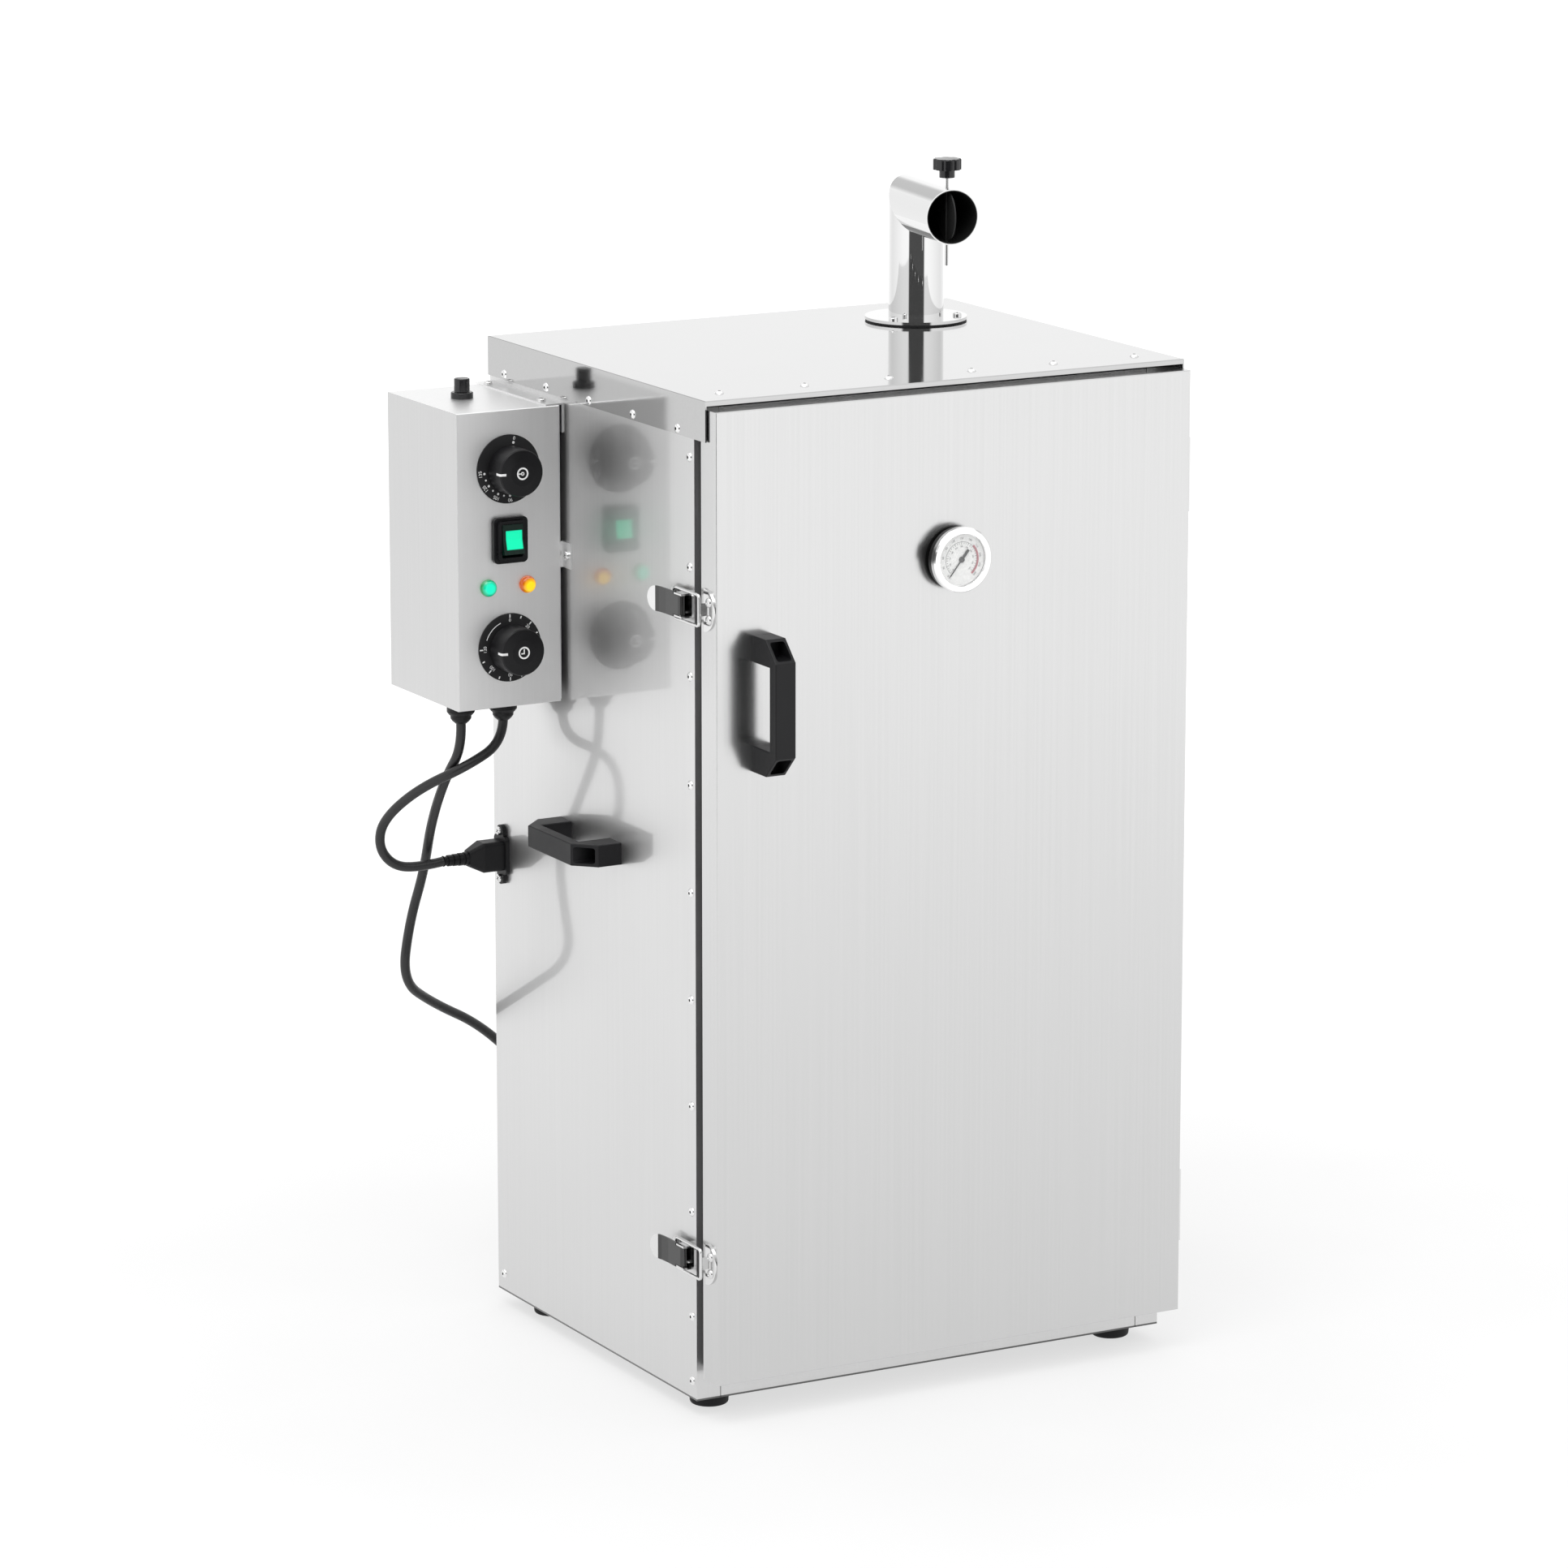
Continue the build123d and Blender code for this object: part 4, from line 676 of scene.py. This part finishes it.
def knob_marks(body, node):
    """The pointer over the knob's rim, and the ring on its face."""
    low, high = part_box(node)
    middle = (low + high) / 2
    face = Marks((middle.x, low.y, middle.z))
    face.arc(0.0037, 0.0050, 0, 2 * pi)
    if body == "timer_knob":
        face.area([(-0.0005, -0.0010), (0.0005, -0.0010), (0.0005, 0.0032), (-0.0005, 0.0032)])
        face.area([(-0.0026, -0.0010), (-0.0005, -0.0010), (-0.0005, 0.0), (-0.0026, 0.0)])
    else:
        face.arc(0.0007, 0.0015, 0, 2 * pi, 24)
        face.area([(-0.0036, -0.0005), (-0.0012, -0.0005), (-0.0012, 0.0005), (-0.0036, 0.0005)])
    face.finish(f"{body}_marks", body, white_ink)
    pointer = Marks((middle.x, low.y, middle.z))
    pointer.stroke(POINTER, POINTER_HALF)
    pointer.finish(f"{body}_pointer", body, white_ink)


knob_marks("thermostat_knob", "thermostat_knob")
knob_marks("timer_knob", "timer_knob")

# ---- thermometer face -------------------------------------------------------------------------------
lens_low, lens_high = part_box("thermometer_lens")
gauge_middle = (lens_low + lens_high) / 2
gauge_r = (lens_high.x - lens_low.x) / 2
DIAL_BEHIND_LENS = 0.0017     # from the lens's inner face to the printed card
card_y = lens_high.y + DIAL_BEHIND_LENS
card = Marks((gauge_middle.x, card_y, gauge_middle.z))
card.arc(0.0009, gauge_r - 0.0002, 0, 2 * pi, 96)
card.finish("gauge_card", "door", gauge_paper)
scale = Marks((gauge_middle.x, card_y - PRINT, gauge_middle.z))
GAUGE_START = 225.0           # degrees; the low end of the scale
GAUGE_SWEEP = 270.0
SCALE_R = 0.0140
for n in range(31):
    angle = radians(GAUGE_START - GAUGE_SWEEP * n / 30)
    scale.bar(SCALE_R - 0.0011, 0.0020 if n % 3 == 0 else 0.0011, 0.0003, angle)
    if n % 3 == 0:
        scale.text(str(10 * n), 0.0023, SCALE_R + 0.0028, angle)
        scale.text(str(50 + 50 * (n // 3)), 0.0016, SCALE_R - 0.0036, angle)
scale.arc(SCALE_R, SCALE_R + 0.0003, radians(GAUGE_START - GAUGE_SWEEP), radians(GAUGE_START), 90)
scale.finish("gauge_scale", "door", grey_ink)
band = Marks((gauge_middle.x, card_y - PRINT, gauge_middle.z))
band.arc(SCALE_R - 0.0004, SCALE_R + 0.0015, radians(-52), radians(45), 48)
band.finish("gauge_red_band", "door", red_ink)

# ---- floor, world and light ---------------------------------------------------------------------------
FLOOR_R = 3.1
RIM = 96                      # corners of the round floor
FLOOR_GLOW = (0.66, 0.96)     # emission near the object and at the rim; the dimmer glow near the object is painted shade
FLOOR_NEAR = 0.4              # distance at which the glow starts to grow
floor_mesh = bpy.data.meshes.new("floor")
corners = [(FLOOR_R * cos(2 * pi * n / RIM), FLOOR_R * sin(2 * pi * n / RIM), 0) for n in range(RIM)]
floor_mesh.from_pydata(corners, [], [list(range(RIM))])
floor = link(bpy.data.objects.new("floor", floor_mesh))
floor_look = Look("pale_floor", grey(0.25), 0.85)
floor_look.vary_color(floor_look.noise(3, detail=2.0), grey(0.24), grey(0.26))
floor_look.set("Emission Color", (1, 1, 1, 1))
distance = floor_look.length(floor_look.place)
glow_with_painted_shade = floor_look.span(distance, *FLOOR_GLOW, FLOOR_NEAR, FLOOR_R)
floor_look.join(glow_with_painted_shade, floor_look.shader.inputs["Emission Strength"])
floor_look.set("Specular IOR Level", 0.1)
floor_mesh.materials.append(floor_look.material)

SKY_STRENGTH = 1.35
world = bpy.data.worlds.new("studio")
bpy.context.scene.world = world
world.use_nodes = True
sky = world.node_tree
background = sky.nodes["Background"]
background.inputs["Strength"].default_value = SKY_STRENGTH


def sky_node(kind, **settings):
    made = sky.nodes.new(kind)
    for name, value in settings.items():
        setattr(made, name, value)
    return made


# The room is pale except for the open side in front of the object's left corner.
OPEN_SIDE = Vector((-0.48, -0.88, 0.0)).normalized()
ROOM = [(0.0, 0.89), (0.25, 0.81), (0.75, 0.97), (0.905, 1.0), (0.93, 0.07)]
OPEN_SIDE_TOP = (0.27, 0.33)  # heights between which the open side ends
WALL = grey(0.9)              # the room above the open side
# A dimmer band runs round the room above the walls.
UPPER = [(0.30, 1.0), (0.36, 0.60), (0.50, 0.60), (0.60, 1.0)]


def sky_span(source, start, end):
    """Maps a source from start..end to 0..1."""
    mapped = sky_node("ShaderNodeMapRange")
    mapped.inputs["From Min"].default_value = start
    mapped.inputs["From Max"].default_value = end
    sky.links.new(source, mapped.inputs["Value"])
    return mapped.outputs["Result"]


def sky_ramp(source, stops):
    """Greys over a source, from (place, value) stops."""
    colors = sky_node("ShaderNodeValToRGB")
    elements = colors.color_ramp.elements
    while len(elements) < len(stops):
        elements.new(0.5)
    for element, (place, value) in zip(elements, stops):
        element.position = place
        element.color = (*grey(value), 1)
    sky.links.new(source, colors.inputs["Fac"])
    return colors.outputs["Color"]


direction = sky_node("ShaderNodeTexCoord").outputs["Generated"]
toward = sky_node("ShaderNodeVectorMath", operation="DOT_PRODUCT")
sky.links.new(direction, toward.inputs[0])
toward.inputs[1].default_value = OPEN_SIDE
room = sky_ramp(sky_span(toward.outputs["Value"], -1.0, 1.0), ROOM)
height = sky_node("ShaderNodeSeparateXYZ")
sky.links.new(direction, height.inputs[0])

walls = sky_node("ShaderNodeMix", data_type="RGBA")
sky.links.new(sky_span(height.outputs["Z"], *OPEN_SIDE_TOP), walls.inputs["Factor"])
sky.links.new(room, walls.inputs[6])
walls.inputs[7].default_value = (*WALL, 1)
dimmed = sky_node("ShaderNodeMix", data_type="RGBA", blend_type="MULTIPLY")
dimmed.inputs["Factor"].default_value = 1.0
sky.links.new(walls.outputs[2], dimmed.inputs[6])
sky.links.new(sky_ramp(height.outputs["Z"], UPPER), dimmed.inputs[7])

# The backdrop itself is plain white.
seen = sky_node("ShaderNodeLightPath")
choose = sky_node("ShaderNodeMix", data_type="RGBA")
sky.links.new(seen.outputs["Is Camera Ray"], choose.inputs["Factor"])
sky.links.new(dimmed.outputs[2], choose.inputs[6])
choose.inputs[7].default_value = (1, 1, 1, 1)
sky.links.new(choose.outputs[2], background.inputs["Color"])


def softbox(name, place, aim, size, power):
    """A square soft light."""
    data = bpy.data.lights.new(name, "AREA")
    data.size = size
    data.energy = power
    light = link(bpy.data.objects.new(name, data))
    light.location = place
    light.rotation_mode = "QUATERNION"
    light.rotation_quaternion = (Vector(aim) - Vector(place)).to_track_quat("-Z", "Y")


softbox("top_light", (-0.9, -0.8, 2.6), (0, 0, 0.6), 1.6, 22)

bpy.context.scene.view_settings.view_transform = "Standard"
